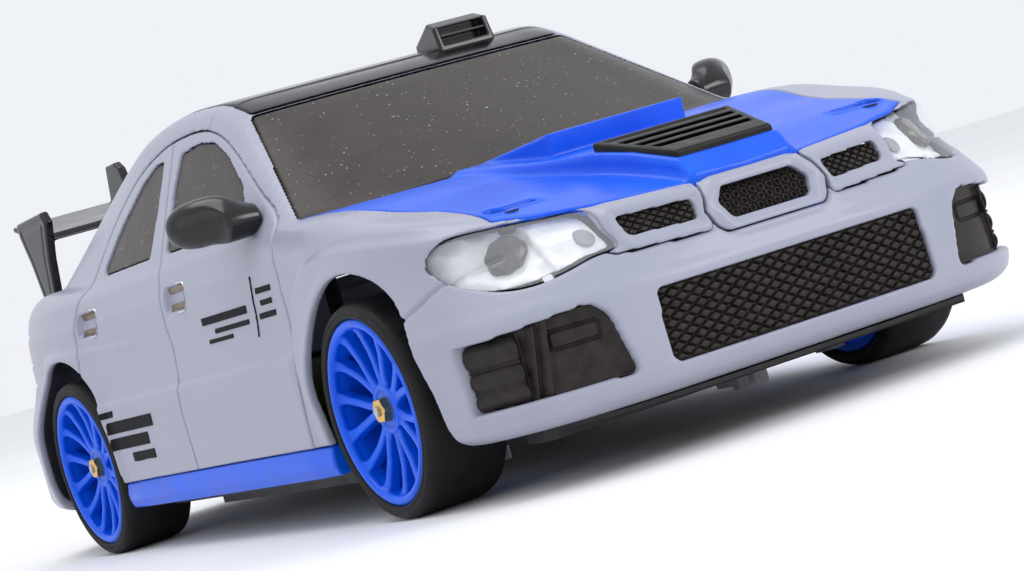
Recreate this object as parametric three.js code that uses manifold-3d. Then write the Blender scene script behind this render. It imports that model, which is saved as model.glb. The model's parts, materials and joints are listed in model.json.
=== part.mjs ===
// Remote control rally saloon, about 1:24 scale: a lift-off body shell on four posts, over a
// four-wheel-drive chassis with a bevel gearbox on each axle, steered front wheels and a motor
// beside the centre shaft. Millimetres. +X is the car's left, -Y its front, +Z up.
// The origin is on the ground under the middle of the car.
import * as THREE from "three";
import { mergeVertices } from "three/addons/utils/BufferGeometryUtils.js";
import Module from "manifold-3d";

// ---- driving dimensions ----
const FRONT_AXLE_Y = -55.1;
const REAR_AXLE_Y = 50.9;
const TYRE_R = 13.3;
const TYRE_INNER_X = 27.8;
const TYRE_OUTER_X = 38.8;
const RIM_R = 11.3;
const SPOKE_PAIRS = 7;
const AXLE_Z = TYRE_R;
const SKIN = 1.4;
const GAP = 0.3;
const SHELL_BOTTOM_Z = 7.2;
const SKIRT_BOTTOM_Z = 6.3;
const SKIRT_TOP_Z = 10.2;
const BELT_Z = 37.6;
const ROOF_Z = 57.9;
const ARCH_R = 16.6;
const FRONT_ARCH_Y = -56.4;
const REAR_ARCH_Y = 51.9;
const KINGPIN_X = 25;
const STEER_ARM = 9;
const STEER_PIN_INSET = 1.5;
const HORN_Y = -72;
const FLOOR_BOTTOM_Z = 5.4;
const FLOOR_TOP_Z = 6.8;
const SHAFT_R = 1.5;
const CENTRE_SHAFT_R = 1.2;
const GEAR_MODULE = 0.45;
const SPUR_TEETH = 24;
const MOTOR_TEETH = 10;
const CROWN_TEETH = 18;
const BEVEL_TEETH = 9;
const SPUR_Y = 15;
const MOTOR_X = GEAR_MODULE * (SPUR_TEETH + MOTOR_TEETH) / 2 + 0.2;
const MOTOR_R = 6;
const FRONT_POST = { x: 25.5, y: -77.5, top: 31.4 };
const REAR_POST = { x: 22, y: 83, top: 38.6 };
const SIDES = [["left", 1], ["right", -1]];

const wasm = await Module();
wasm.setup();

// ---- solids ----
function solid(geometry) {
  const bare = geometry.index ? geometry.toNonIndexed() : geometry.clone();
  bare.deleteAttribute("normal");
  bare.deleteAttribute("uv");
  const merged = mergeVertices(bare, 1e-4);
  const vertProperties = new Float32Array(merged.attributes.position.array);
  const triVerts = new Uint32Array(merged.index.array);
  return new wasm.Manifold(new wasm.Mesh({ numProp: 3, vertProperties, triVerts }));
}

function geometryOf(manifold) {
  const raw = manifold.getMesh();
  const geometry = new THREE.BufferGeometry();
  geometry.setAttribute("position", new THREE.BufferAttribute(new Float32Array(raw.vertProperties), 3));
  geometry.setIndex(new THREE.BufferAttribute(new Uint32Array(raw.triVerts), 1));
  geometry.computeVertexNormals();
  return geometry;
}

const joined = (parts) => parts.reduce((whole, part) => whole.add(part));

function outline(points) {
  return new THREE.Shape(points.map(([a, b]) => new THREE.Vector2(a, b)));
}

function extruded(shape, depth, curveSegments = 2) {
  return new THREE.ExtrudeGeometry(shape, { depth, bevelEnabled: false, curveSegments });
}

// A shape drawn as (y, z), running from x0 to x1.
function alongX(shape, x0, x1) {
  const turn = new THREE.Matrix4().set(0, 0, 1, x0, 1, 0, 0, 0, 0, 1, 0, 0, 0, 0, 0, 1);
  return solid(extruded(shape, x1 - x0).applyMatrix4(turn));
}

// A shape drawn as (x, z), running from y0 to y1.
function alongY(shape, y0, y1) {
  const turn = new THREE.Matrix4().set(1, 0, 0, 0, 0, 0, -1, y1, 0, 1, 0, 0, 0, 0, 0, 1);
  return solid(extruded(shape, y1 - y0).applyMatrix4(turn));
}

// A shape drawn as (x, y), running from z0 to z1.
function alongZ(shape, z0, z1) {
  return solid(extruded(shape, z1 - z0).translate(0, 0, z0));
}

function box(x0, x1, y0, y1, z0, z1) {
  const geometry = new THREE.BoxGeometry(x1 - x0, y1 - y0, z1 - z0);
  return solid(geometry.translate((x0 + x1) / 2, (y0 + y1) / 2, (z0 + z1) / 2));
}

const AXIS_TURN = {
  x: new THREE.Matrix4().makeRotationZ(-Math.PI / 2),
  y: new THREE.Matrix4(),
  z: new THREE.Matrix4().makeRotationX(Math.PI / 2),
};

// A rod from one end to the other along x, y or z; a and b are the other two coordinates.
function rod(axis, from, to, a, b, radius, sides = 10) {
  const geometry = new THREE.CylinderGeometry(radius, radius, to - from, sides);
  geometry.applyMatrix4(AXIS_TURN[axis]);
  const middle = (from + to) / 2;
  const place = { x: [middle, a, b], y: [a, middle, b], z: [a, b, middle] }[axis];
  return solid(geometry.translate(...place));
}

function roundedRect(x0, x1, y0, y1, r) {
  const shape = new THREE.Shape();
  shape.moveTo(x0 + r, y0);
  shape.lineTo(x1 - r, y0).quadraticCurveTo(x1, y0, x1, y0 + r);
  shape.lineTo(x1, y1 - r).quadraticCurveTo(x1, y1, x1 - r, y1);
  shape.lineTo(x0 + r, y1).quadraticCurveTo(x0, y1, x0, y1 - r);
  shape.lineTo(x0, y0 + r).quadraticCurveTo(x0, y0, x0 + r, y0);
  return shape;
}

// A solid whose plan outline changes with height: levels is a list of { z, ring }, where every
// ring is the same number of [x, y] points.
function lofted(levels) {
  const count = levels[0].ring.length;
  const circle = levels[0].ring.map((_, i) => {
    const angle = (2 * Math.PI * i) / count;
    return [Math.cos(angle), Math.sin(angle)];
  });
  const options = { depth: levels.length - 1, steps: levels.length - 1, bevelEnabled: false };
  const geometry = new THREE.ExtrudeGeometry(outline(circle), options);
  const position = geometry.attributes.position;
  for (let i = 0; i < position.count; i += 1) {
    const angle = Math.atan2(position.getY(i), position.getX(i));
    const mark = Math.round((angle / (2 * Math.PI)) * count + count) % count;
    const level = levels[Math.round(position.getZ(i))];
    position.setXYZ(i, level.ring[mark][0], level.ring[mark][1], level.z);
  }
  return solid(geometry);
}

// ---- looks ----
function look(color, roughness, metalness = 0, opacity = 1) {
  return { color, roughness, metalness, opacity };
}
const GREY_SHELL = look(0x9ea2b4, 0.35);
const BLUE_SHELL = look(0x0862e6, 0.3);
const BLACK_GLOSS = look(0x0b0b0c, 0.15);
const BLACK_MATT = look(0x17161a, 0.6);
const TINTED = look(0x3a3430, 0.3);
const CLEAR = look(0xf2f4f6, 0.05, 0, 0.4);
const MIRROR_WHITE = look(0xe6e8ec, 0.2, 0.4);
const RED_LENS = look(0xb01828, 0.2);
const TYRE_BLACK = look(0x0d0d0d, 0.7);
const STEEL = look(0xb9bcc2, 0.3, 0.9);
const BRASS = look(0xc9a24a, 0.3, 0.9);
const BATTERY_BLUE = look(0x2a58b8, 0.4);
const BOARD_GREEN = look(0x146b3a, 0.5);
const GEAR_WHITE = look(0xe8e6df, 0.5);

const car = new THREE.Group();

function addMesh(parent, name, shape, finish) {
  const geometry = shape.isBufferGeometry ? shape : geometryOf(shape);
  const transparent = finish.opacity < 1;
  const mesh = new THREE.Mesh(geometry, new THREE.MeshStandardMaterial({ ...finish, transparent }));
  mesh.name = name;
  parent.add(mesh);
}

// ---- body shell surface ----
// Half outlines from the nose to the tail as [x, y]: round the bumper, at the bonnet's height,
// at the foot of the glass and at the roof.
const BUMPER_OUTLINE = [[0, -92.3], [10, -92.2], [19, -91.6], [26, -90.1], [31.5, -87.2], [35.5, -82.6],
  [38, -76], [39.2, -65], [39.3, -48], [38.5, -36], [38.3, 0], [38.8, 34], [40.2, 44], [40.3, 58],
  [38.6, 71], [35.8, 81], [31, 87.5], [24, 90.8], [12, 92.1], [0, 92.3]];
const BONNET_OUTLINE = [[0, -89.6], [8, -89.1], [20, -86.4], [26, -83.6], [30.5, -80], [34, -74.5],
  [36.6, -67], [37.8, -58], [37.8, -47], [37.2, -36], [37, 0], [37.2, 34], [37.8, 46], [37.6, 58],
  [36.4, 68], [34, 77], [30, 83.5], [24, 87.5], [12, 89.6], [0, 90]];
const GLASS_FOOT_OUTLINE = [[0, -46.5], [12, -45.2], [22, -42.6], [29.5, -39.6], [34.6, -33], [35.2, -15],
  [35.2, 10], [34.6, 34], [33.2, 55], [31, 69], [27, 74.5], [14, 77], [0, 77.5]];
const ROOF_OUTLINE = [[0, -11.6], [10, -11.3], [18, -10.6], [22.5, -9.8], [25.4, -6.5], [26, -1],
  [26, 10], [25.5, 24], [24.5, 30], [23, 34], [20.5, 37], [10, 39], [0, 39.5]];
const BONNET_OUTLINE_Z = 29;
const BUMPER_OUTLINE_Z = 20;
const ROOF_OUTLINE_Z = 56;
const SHOULDER_X = 35.4;

// Moves a half outline inwards by a distance, square to itself.
function inset(half, distance) {
  return half.map(([x, y], i) => {
    const [ax, ay] = half[Math.max(i - 1, 0)];
    const [bx, by] = half[Math.min(i + 1, half.length - 1)];
    const length = Math.hypot(bx - ax, by - ay);
    const endTurn = i === 0 || i === half.length - 1;
    const nx = endTurn ? 0 : -(by - ay) / length;
    const ny = endTurn ? (i === 0 ? 1 : -1) : (bx - ax) / length;
    return [Math.max(x + nx * distance, 0), y + ny * distance];
  });
}

const between = (a, b, t) => a.map(([x, y], i) => [x + (b[i][0] - x) * t, y + (b[i][1] - y) * t]);
const widened = (half, factor) => half.map(([x, y]) => [x * factor, y]);
const wholeRing = (half) => [...half, ...half.slice(1, -1).reverse().map(([x, y]) => [-x, y])];

function lowerBody(depth) {
  const bumper = inset(BUMPER_OUTLINE, depth);
  const bonnet = inset(BONNET_OUTLINE, depth);
  const shoulder = widened(bonnet, SHOULDER_X / BONNET_OUTLINE[10][0]);
  const levels = [[SHELL_BOTTOM_Z - depth, widened(bumper, 0.99)], [9.5, bumper], [BUMPER_OUTLINE_Z, bumper],
    [BONNET_OUTLINE_Z, bonnet], [BELT_Z, shoulder], [BELT_Z + 5, widened(bonnet, 0.8)]];
  return lofted(levels.map(([z, half]) => ({ z, ring: wholeRing(half) })));
}

// Side view of the bonnet, the waist and the boot lid, as (y, z).
function sideProfile(depth) {
  const top = [[-95, 20], [-95, 26.6], [-89.5, 28.3], [-85.8, 29.1], [-80, 30.8], [-73, 32.5], [-60, 34.9],
    [-46, 37.6], [-20, 38.4], [40, 39.4], [66, 40.6], [86, 40.2], [90.5, 38], [95, 30], [95, 20]];
  const lowered = top.map(([y, z]) => [y, z - depth]);
  return outline([[-95, SHELL_BOTTOM_Z - 3], [95, SHELL_BOTTOM_Z - 3], ...lowered.reverse()]);
}

function cabin(depth) {
  const foot = inset(GLASS_FOOT_OUTLINE, depth);
  const roof = inset(ROOF_OUTLINE, depth);
  const at = (z) => wholeRing(between(foot, roof, (z - BELT_Z) / (ROOF_OUTLINE_Z - BELT_Z)));
  const levels = [BELT_Z - 6, BELT_Z, ROOF_OUTLINE_Z, ROOF_Z + 3];
  return lofted(levels.map((z) => ({ z, ring: at(z) })));
}

function roofProfile(depth) {
  const top = [[-60, 50], [-14, 55.1], [-8, 56.3], [0, 57.3], [10, ROOF_Z], [20, 57.5], [30, 56.1],
    [40, 53.9], [85, 45]];
  return outline([[-60, 20], [85, 20], ...top.map(([y, z]) => [y, z - depth]).reverse()]);
}

function bodyEnvelope(depth) {
  const lower = lowerBody(depth).intersect(alongX(sideProfile(depth), -60, 60));
  const upper = cabin(depth).intersect(alongX(roofProfile(depth), -60, 60));
  return lower.add(upper);
}

// ---- panels of the shell: outlines on the surface, clockwise or not ----
const BONNET_REGION = [[0, -87.6], [7, -87.4], [19, -84.6], [25, -82.2], [28.6, -79.4], [28.2, -68],
  [29.6, -58], [33.2, -41], [32.6, -36.6], [0, -46.9]];
const BULGE_PLAN = [[0, -88.4], [6.9, -88.2], [10.6, -72], [10.8, -46.9], [0, -46.9]];
const BULGE_SIDE = [[-88.6, 27.5], [-88.4, 28.7], [-85.6, 31.4], [-72.4, 35.4], [-62.2, 36.2], [-62, 39],
  [-46.9, 38.6], [-46.9, 36], [-70, 31]];
const VENT_PLAN = [[0, -85.4], [6.6, -85.2], [9.8, -72.5], [0, -72.5]];
const VENT_SIDE = [[-85.4, 31], [-85.4, 32.4], [-72.5, 36.3], [-72.5, 33.6]];
const VENT_SEAT = [[-85.7, 30.7], [-85.7, 42], [-72.2, 42], [-72.2, 33.3]];
const WINDSCREEN = [[-31.4, 39], [31.4, 39], [24.2, 53.4], [-24.2, 53.4]];
const REAR_WINDOW = [[-27, 42.6], [27, 42.6], [22, 52.2], [-22, 52.2]];
const ROOF_PANEL = [[-14.5, 54.4], [39, 54.4], [39, 62], [-14.5, 62]];
const SIDE_WINDOWS = {
  front: [[9, 39.8], [7.6, 52.2], [-6.3, 52], [-15.5, 48.4], [-21.5, 42.5], [-22.5, 39.8]],
  rear: [[13.8, 39.8], [12.4, 52.2], [19, 51.6], [28, 48], [36.5, 41.4], [37.2, 39.8]],
};
const HEADLIGHT = [[20.2, 28.8], [19.6, 23.8], [24, 23], [32, 23.4], [35, 26], [33.8, 30.2], [29, 30.2],
  [24.6, 29.4]];
const CENTRE_GRILLE = [[-5.6, 23.6], [5.6, 23.6], [6.4, 25.4], [5, 27], [-5, 27], [-6.4, 25.4]];
const SIDE_GRILLE = [[9.2, 24.5], [17.8, 24.7], [18.2, 27], [8.7, 27]];
const LOWER_GRILLE = [[-17.4, 10], [17.4, 10], [18.5, 11], [18.2, 18.8], [-18.2, 18.8], [-18.5, 11]];
const FOG_PANEL = [[22, 10.2], [34.8, 11], [36, 12.6], [36, 18.6], [27, 19.4], [24, 18.8], [22.6, 16.6]];
const TAIL_LIGHT = [[22, 30.4], [34.8, 31], [34.8, 35.4], [24, 35.2]];
const SKIRT = [
  [35.9, SKIRT_BOTTOM_Z], [38.4, SKIRT_BOTTOM_Z], [39, 8.2], [38.4, SKIRT_TOP_Z], [36.4, SKIRT_TOP_Z],
];

// Moves every edge of a closed outline outwards by a distance.
function grown(points, distance) {
  const clockwise = THREE.ShapeUtils.area(points.map(([x, y]) => new THREE.Vector2(x, y))) < 0;
  const reach = clockwise ? -distance : distance;
  return points.map(([x, y], i) => {
    const before = points[(i + points.length - 1) % points.length];
    const after = points[(i + 1) % points.length];
    const a = new THREE.Vector2(y - before[1], before[0] - x).normalize();
    const b = new THREE.Vector2(after[1] - y, x - after[0]).normalize();
    const mitre = a.clone().add(b).divideScalar(1 + a.dot(b));
    return [x + mitre.x * reach, y + mitre.y * reach];
  });
}

const turnedTo = (side, block) => (side > 0 ? block : block.scale([-1, 1, 1]));

// Each cutter makes the block over a panel, grown by the gap round it.
const overSide = (points, side) => (gap) => turnedTo(side, alongX(outline(grown(points, gap)), 20, 60));
const overNose = (points, side) => (gap) => turnedTo(side, alongY(outline(grown(points, gap)), -100, -71));
const overTail = (points, side) => (gap) => turnedTo(side, alongY(outline(grown(points, gap)), 68, 100));
const overFront = (points) => (gap) => alongY(outline(grown(points, gap)), -60, 2);
const overBack = (points) => (gap) => alongY(outline(grown(points, gap)), 30, 90);
const overTop = (points) => (gap) => alongX(outline(grown(points, gap)), -60, 60);
const overBonnet = (gap) => alongZ(outline(wholeRing(inset(BONNET_REGION, GAP - gap))), 20, 45);

const outer = bodyEnvelope(0);
const inner = bodyEnvelope(SKIN);

function wheelArch(y) {
  return rod("x", -60, 60, y, AXLE_Z, ARCH_R, 24).add(box(-60, 60, y - ARCH_R, y + ARCH_R, 0, AXLE_Z));
}

// The panels set into the shell: name, cutter, look and thickness.
function shellPanels() {
  const panels = [
    ["windscreen", overFront(WINDSCREEN), TINTED, 1.2],
    ["rear_window", overBack(REAR_WINDOW), TINTED, 1.2],
    ["roof_panel", overTop(ROOF_PANEL), BLACK_GLOSS, 1.2],
    ["centre_grille", overNose(CENTRE_GRILLE, 1), BLACK_MATT, 1.2],
    ["lower_grille", overNose(LOWER_GRILLE, 1), BLACK_MATT, 1.2],
  ];
  for (const [side, sign] of SIDES) {
    panels.push([`front_door_window_${side}`, overSide(SIDE_WINDOWS.front, sign), TINTED, 1.2]);
    panels.push([`rear_door_window_${side}`, overSide(SIDE_WINDOWS.rear, sign), TINTED, 1.2]);
    panels.push([`headlight_lens_${side}`, overNose(HEADLIGHT, sign), CLEAR, 0.8]);
    panels.push([`side_grille_${side}`, overNose(SIDE_GRILLE, sign), BLACK_MATT, 1.2]);
    panels.push([`fog_panel_${side}`, overNose(FOG_PANEL, sign), BLACK_MATT, 1.2]);
    panels.push([`tail_light_${side}`, overTail(TAIL_LIGHT, sign), RED_LENS, 1.2]);
  }
  return panels;
}

// The outer skin of bonnet with its raised middle, the scoop's step and holes for the post tops.
function bonnetPanel() {
  const hull = outer.subtract(bodyEnvelope(1.2)).intersect(overBonnet(0));
  const skin = hull.intersect(box(-60, 60, -95, 0, 20, 38.6));
  const bulge = alongX(outline(BULGE_SIDE), -11, 11)
    .intersect(alongZ(outline(wholeRing(BULGE_PLAN)), 20, 45))
    .subtract(bodyEnvelope(1.2)).intersect(overBonnet(0));
  const ventSeat = alongX(outline(VENT_SEAT), -11, 11)
    .intersect(alongZ(outline(wholeRing(inset(VENT_PLAN, -GAP))), 20, 45));
  let panel = skin.add(bulge).subtract(ventSeat);
  for (const [, sign] of SIDES) {
    panel = panel.subtract(rod("z", 20, 45, sign * FRONT_POST.x, FRONT_POST.y, 2.1, 12));
  }
  return panel;
}

function bonnetVent() {
  const body = alongX(outline(VENT_SIDE), -11, 11).intersect(alongZ(outline(wholeRing(VENT_PLAN)), 20, 45));
  const slope = (VENT_SIDE[2][1] - VENT_SIDE[1][1]) / (VENT_SIDE[2][0] - VENT_SIDE[1][0]);
  const slots = [0, 1, 2, 3].map((i) => {
    const y = -82.6 + i * 2.5;
    const z = VENT_SIDE[1][1] + slope * (y - VENT_SIDE[1][0]);
    return box(-5.6 - i * 0.7, 5.6 + i * 0.7, y, y + 1.2, z - 0.6, z + 3);
  });
  return body.subtract(joined(slots));
}

function doorMirror(sign) {
  const head = new THREE.SphereGeometry(1, 14, 8);
  head.scale(5.4, 3, 3.2).rotateZ(sign * 0.85).translate(sign * 39.2, -23, 41.4);
  const foot = box(34, 37.6, -29.4, -25.6, 38.9, 41);
  const arm = solid(head).add(turnedTo(sign, foot));
  return arm.subtract(bodyEnvelope(-GAP));
}

function roofVent() {
  const side = outline([[-9.4, 57.2], [-9.4, 58.2], [-6.4, 60.4], [-0.6, 60.4], [0.6, 58.6], [0.6, 57.2]]);
  return alongX(side, 7.4, 16.4).subtract(bodyEnvelope(-GAP));
}

function rearWing() {
  const plank = outline([[71.5, 49.6], [72.6, 50.4], [81.5, 52.3], [81.5, 51.5], [73, 49.2]]);
  const plate = outline([[70, 51.6], [71.6, 52.8], [82.6, 52.6], [82.2, 47], [78, 38.6], [74, 38.8]]);
  const strut = outline([[71, 38], [73, 50], [80, 51.4], [81, 38]]);
  const fin = outline([[78, 51], [80.6, 58.8], [86, 58.8], [87.4, 51]]);
  const wing = [alongX(plank, -27, 27), alongX(fin, -9.6, -8.2), alongX(fin, 8.2, 9.6)];
  for (const sign of [-1, 1]) {
    wing.push(turnedTo(sign, alongX(plate, 26.2, 27.8)));
    wing.push(turnedTo(sign, alongX(strut, 14, 15.6)));
  }
  return joined([...wing, alongX(outline([[76, 50.2], [76, 52], [88, 53], [88, 51.8]]), -26.8, 26.8)])
    .subtract(bodyEnvelope(-GAP));
}

function headlightBowl(sign) {
  const depth = bodyEnvelope(1.2).subtract(bodyEnvelope(4));
  const cup = depth.intersect(overNose(HEADLIGHT, sign)(-0.3));
  const hollow = bodyEnvelope(1.1).subtract(bodyEnvelope(3.2)).intersect(overNose(HEADLIGHT, sign)(-1.1));
  const postRoom = rod("z", 20, 40, sign * FRONT_POST.x, FRONT_POST.y, 2.2, 12);
  return cup.subtract(hollow).subtract(postRoom).subtract(overBonnet(GAP));
}

function sideSkirt(sign) {
  return turnedTo(sign, alongY(outline(SKIRT), -39.3, 37.4));
}

function addShell() {
  let shell = outer.subtract(inner);
  shell = shell.subtract(joined([FRONT_ARCH_Y, REAR_ARCH_Y].map(wheelArch)));
  shell = shell.subtract(box(-60, 60, -39.8, 37.8, 0, SKIRT_TOP_Z + GAP));
  shell = shell.subtract(overBonnet(GAP));
  for (const [name, cutter, finish, thickness] of shellPanels()) {
    const panel = outer.subtract(bodyEnvelope(thickness)).intersect(cutter(0)).subtract(overBonnet(GAP));
    shell = shell.subtract(cutter(GAP));
    addMesh(car, name, panel, finish);
  }
  addMesh(car, "body_shell", shell, GREY_SHELL);
  addMesh(car, "bonnet_panel", bonnetPanel(), BLUE_SHELL);
  addMesh(car, "bonnet_vent", bonnetVent(), BLACK_MATT);
  addMesh(car, "roof_vent", roofVent(), BLACK_GLOSS);
  addMesh(car, "rear_wing", rearWing(), BLACK_GLOSS);
  for (const [side, sign] of SIDES) {
    addMesh(car, `headlight_bowl_${side}`, headlightBowl(sign), MIRROR_WHITE);
    addMesh(car, `door_mirror_${side}`, doorMirror(sign), BLACK_GLOSS);
    addMesh(car, `side_skirt_${side}`, sideSkirt(sign), BLUE_SHELL);
  }
}

// ---- wheels ----
const lathe = (points, segments = 24) => {
  const profile = [...points, points[0]].map(([r, along]) => new THREE.Vector2(r, along));
  return new THREE.LatheGeometry(profile, segments);
};

// Turns a shape made round +Y so that it runs outwards along X on the given side.
const outwards = (geometry, sign) => geometry.rotateZ((-sign * Math.PI) / 2);

function tyre(sign) {
  const profile = [[11.3, TYRE_INNER_X + 0.4], [12.6, TYRE_INNER_X], [TYRE_R, TYRE_INNER_X + 1.3],
    [TYRE_R, TYRE_OUTER_X - 1.3], [12.6, TYRE_OUTER_X], [11.6, TYRE_OUTER_X - 0.2], [11.3, 37.8]];
  return solid(outwards(lathe(profile), sign));
}

function rim(sign) {
  const barrel = [[10.3, 28.2], [RIM_R - 0.1, 28.2], [RIM_R - 0.1, 37.7], [RIM_R + 0.2, 38.6], [10.6, 38.6]];
  const hub = [[SHAFT_R + 0.06, 31.6], [3, 31.6], [3.2, 37], [2.6, 37], [2.4, 36.4], [SHAFT_R + 0.06, 36.4]];
  const parts = [solid(outwards(lathe(barrel), sign)), solid(outwards(lathe(hub, 10), sign))];
  for (let pair = 0; pair < SPOKE_PAIRS; pair += 1) {
    for (const lean of [-1, 1]) {
      const angle = ((pair + 0.5) / SPOKE_PAIRS) * 2 * Math.PI;
      const tip = angle + (lean * 0.55 * Math.PI) / (2 * SPOKE_PAIRS);
      const root = angle + (lean * 0.18 * Math.PI) / (2 * SPOKE_PAIRS);
      parts.push(spoke(root, tip, sign));
    }
  }
  return joined(parts);
}

function spoke(root, tip, sign) {
  const [rootR, tipR, halfWidth] = [2.9, 10.5, 0.55];
  const start = new THREE.Vector2(Math.cos(root), Math.sin(root)).multiplyScalar(rootR);
  const end = new THREE.Vector2(Math.cos(tip), Math.sin(tip)).multiplyScalar(tipR);
  const across = end.clone().sub(start).normalize().rotateAround(new THREE.Vector2(), Math.PI / 2);
  const corner = (point, reach) => [point.x + across.x * reach, point.y + across.y * reach];
  const face = [
    corner(start, -halfWidth), corner(end, -halfWidth), corner(end, halfWidth), corner(start, halfWidth),
  ];
  return turnedTo(sign, alongX(outline(face), 35.4, 37.4));
}

function wheelNut(sign) {
  return turnedTo(sign, rod("x", 36.45, 37.9, 0, 0, 1.35, 6).add(rod("x", 37, 38.3, 0, 0, 0.6, 12)));
}

function stubAxle(sign) {
  const cup = rod("x", 23.5, 27, 0, 0, 2.7).subtract(rod("x", 23, 26.2, 0, 0, 1.9));
  return turnedTo(sign, cup.add(rod("x", 26.6, 36.5, 0, 0, SHAFT_R))).add(wheelNut(sign));
}

function addWheel(place, name, sign, axleY) {
  const wheel = new THREE.Group();
  wheel.position.set(0, axleY, AXLE_Z);
  car.add(wheel);
  addMesh(wheel, `tyre_${place}_${name}`, tyre(sign), TYRE_BLACK);
  addMesh(wheel, `rim_${place}_${name}`, rim(sign), BLUE_SHELL);
  return wheel;
}

// ---- gears ----
// A toothed disc round +Y; the teeth are tapered blocks.
function spurGear(teeth, bore, y0, y1, phase = 0) {
  const pitchR = (GEAR_MODULE * teeth) / 2;
  const shape = new THREE.Shape();
  const tipR = pitchR + GEAR_MODULE * 0.85;
  const rootR = pitchR - GEAR_MODULE * 1.15;
  const step = (2 * Math.PI) / teeth;
  for (let i = 0; i < teeth; i += 1) {
    for (const [share, radius] of [[-0.3, rootR], [-0.1, tipR], [0.1, tipR], [0.3, rootR]]) {
      const angle = phase + (i + share) * step;
      const point = [Math.cos(angle) * radius, Math.sin(angle) * radius];
      if (i === 0 && share === -0.3) shape.moveTo(...point);
      else shape.lineTo(...point);
    }
  }
  return alongY(shape, y0, y1).subtract(rod("y", y0 - 1, y1 + 1, 0, 0, bore, 8));
}

function crownGear(sign) {
  const disc = rod("x", 3.3, 4.3, 0, 0, 5.4, 18);
  const teeth = [];
  for (let i = 0; i < CROWN_TEETH; i += 1) {
    const tooth = box(2.6, 3.4, -0.25, 0.25, 3.9, 5.3);
    teeth.push(tooth.rotate([(360 * i) / CROWN_TEETH, 0, 0]));
  }
  return turnedTo(sign, joined([disc, ...teeth]));
}

// ---- chassis and drive ----
function frontArmPlan() {
  const shape = new THREE.Shape();
  shape.moveTo(-KINGPIN_X, FRONT_AXLE_Y - 2.4).lineTo(KINGPIN_X, FRONT_AXLE_Y - 2.4);
  shape.absarc(KINGPIN_X, FRONT_AXLE_Y, 2.4, -Math.PI / 2, Math.PI / 2, false);
  shape.lineTo(-KINGPIN_X, FRONT_AXLE_Y + 2.4);
  shape.absarc(-KINGPIN_X, FRONT_AXLE_Y, 2.4, Math.PI / 2, (3 * Math.PI) / 2, false);
  return shape;
}

function kingpinHoles() {
  return joined(SIDES.map(([, sign]) => rod("z", 0, 30, sign * KINGPIN_X, FRONT_AXLE_Y, 1.3, 12)));
}

function chassisTub() {
  const floor = [[-30, -79], [-24, -87.5], [-12, -89.6], [12, -89.6], [24, -87.5], [30, -79], [30, -74.5],
    [20, -71.5], [20, -38.5], [33, -36], [33, 34], [20, 36.5], [20, 66.5], [30, 69.5], [30, 82], [22, 88],
    [-22, 88], [-30, 82], [-30, 69.5], [-20, 66.5], [-20, 36.5], [-33, 34], [-33, -36], [-20, -38.5],
    [-20, -71.5], [-30, -74.5]];
  const parts = [alongZ(outline(floor), FLOOR_BOTTOM_Z, FLOOR_TOP_Z)];
  parts.push(alongZ(frontArmPlan(), FLOOR_BOTTOM_Z, FLOOR_TOP_Z));
  const rail = box(31.6, 33, -36, 34, FLOOR_BOTTOM_Z, 14);
  parts.push(rail, turnedTo(-1, rail));
  parts.push(box(-33, 33, 32.6, 34, FLOOR_BOTTOM_Z, 8), box(-33, 33, -36, -34.6, FLOOR_BOTTOM_Z, 8));
  for (const [x, y] of [[10, -30], [29, -30], [10, 4], [29, 4]]) {
    parts.push(rod("z", FLOOR_BOTTOM_Z, 11.6, x, y, 1.3, 12));
  }
  parts.push(...SIDES.map(([, sign]) => bodyPost(REAR_POST, sign, FLOOR_BOTTOM_Z)));
  parts.push(motorBracket(), switchHousing());
  const hatch = box(-29, -6, -27, 22, 0, 20);
  const switchSlot = box(20.3, 23.7, 14.8, 23.2, 0, 9.4);
  const noseRelief = box(-40, 40, -95, -80.5, 0, 6.3);
  return joined(parts).subtract(kingpinHoles()).subtract(hatch).subtract(switchSlot).subtract(noseRelief);
}

// A gear case, open along its axle and towards the centre shaft.
function gearCase(axleY, towards) {
  const [half, wall] = [7, 1.2];
  const [y0, y1] = [axleY - half, axleY + half];
  const walls = box(-8.6, 8.6, y0, y1, FLOOR_TOP_Z + GAP, 20.2);
  const hollow = box(-7.4, 7.4, y0 + wall, y1 - wall, 7.6, 19);
  const axleBore = rod("x", -20, 20, axleY, AXLE_Z, SHAFT_R + 0.08);
  const [s0, s1] = towards > 0 ? [axleY, axleY + 20] : [axleY - 20, axleY];
  return walls.subtract(hollow).subtract(axleBore)
    .subtract(rod("y", s0, s1, 0, AXLE_Z, CENTRE_SHAFT_R + 0.08));
}

function frontAxle() {
  const shaft = rod("x", -11.6, 11.6, FRONT_AXLE_Y, AXLE_Z, SHAFT_R);
  const bones = SIDES.map(([, sign]) => turnedTo(sign, rod("x", 11, 25, FRONT_AXLE_Y, AXLE_Z, 0.8, 12)
    .add(rod("x", 9.2, 12.6, FRONT_AXLE_Y, AXLE_Z, 2.4))
    .add(rod("x", 24.3, 25.6, FRONT_AXLE_Y, AXLE_Z, 1.3, 12))));
  return joined([shaft, ...bones, crownGear(-1).translate([0, FRONT_AXLE_Y, AXLE_Z])]);
}

function rearAxle() {
  const shaft = rod("x", -36.5, 36.5, 0, 0, SHAFT_R);
  return joined([shaft, crownGear(1), wheelNut(1), wheelNut(-1)]).translate([0, REAR_AXLE_Y, AXLE_Z]);
}

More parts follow.
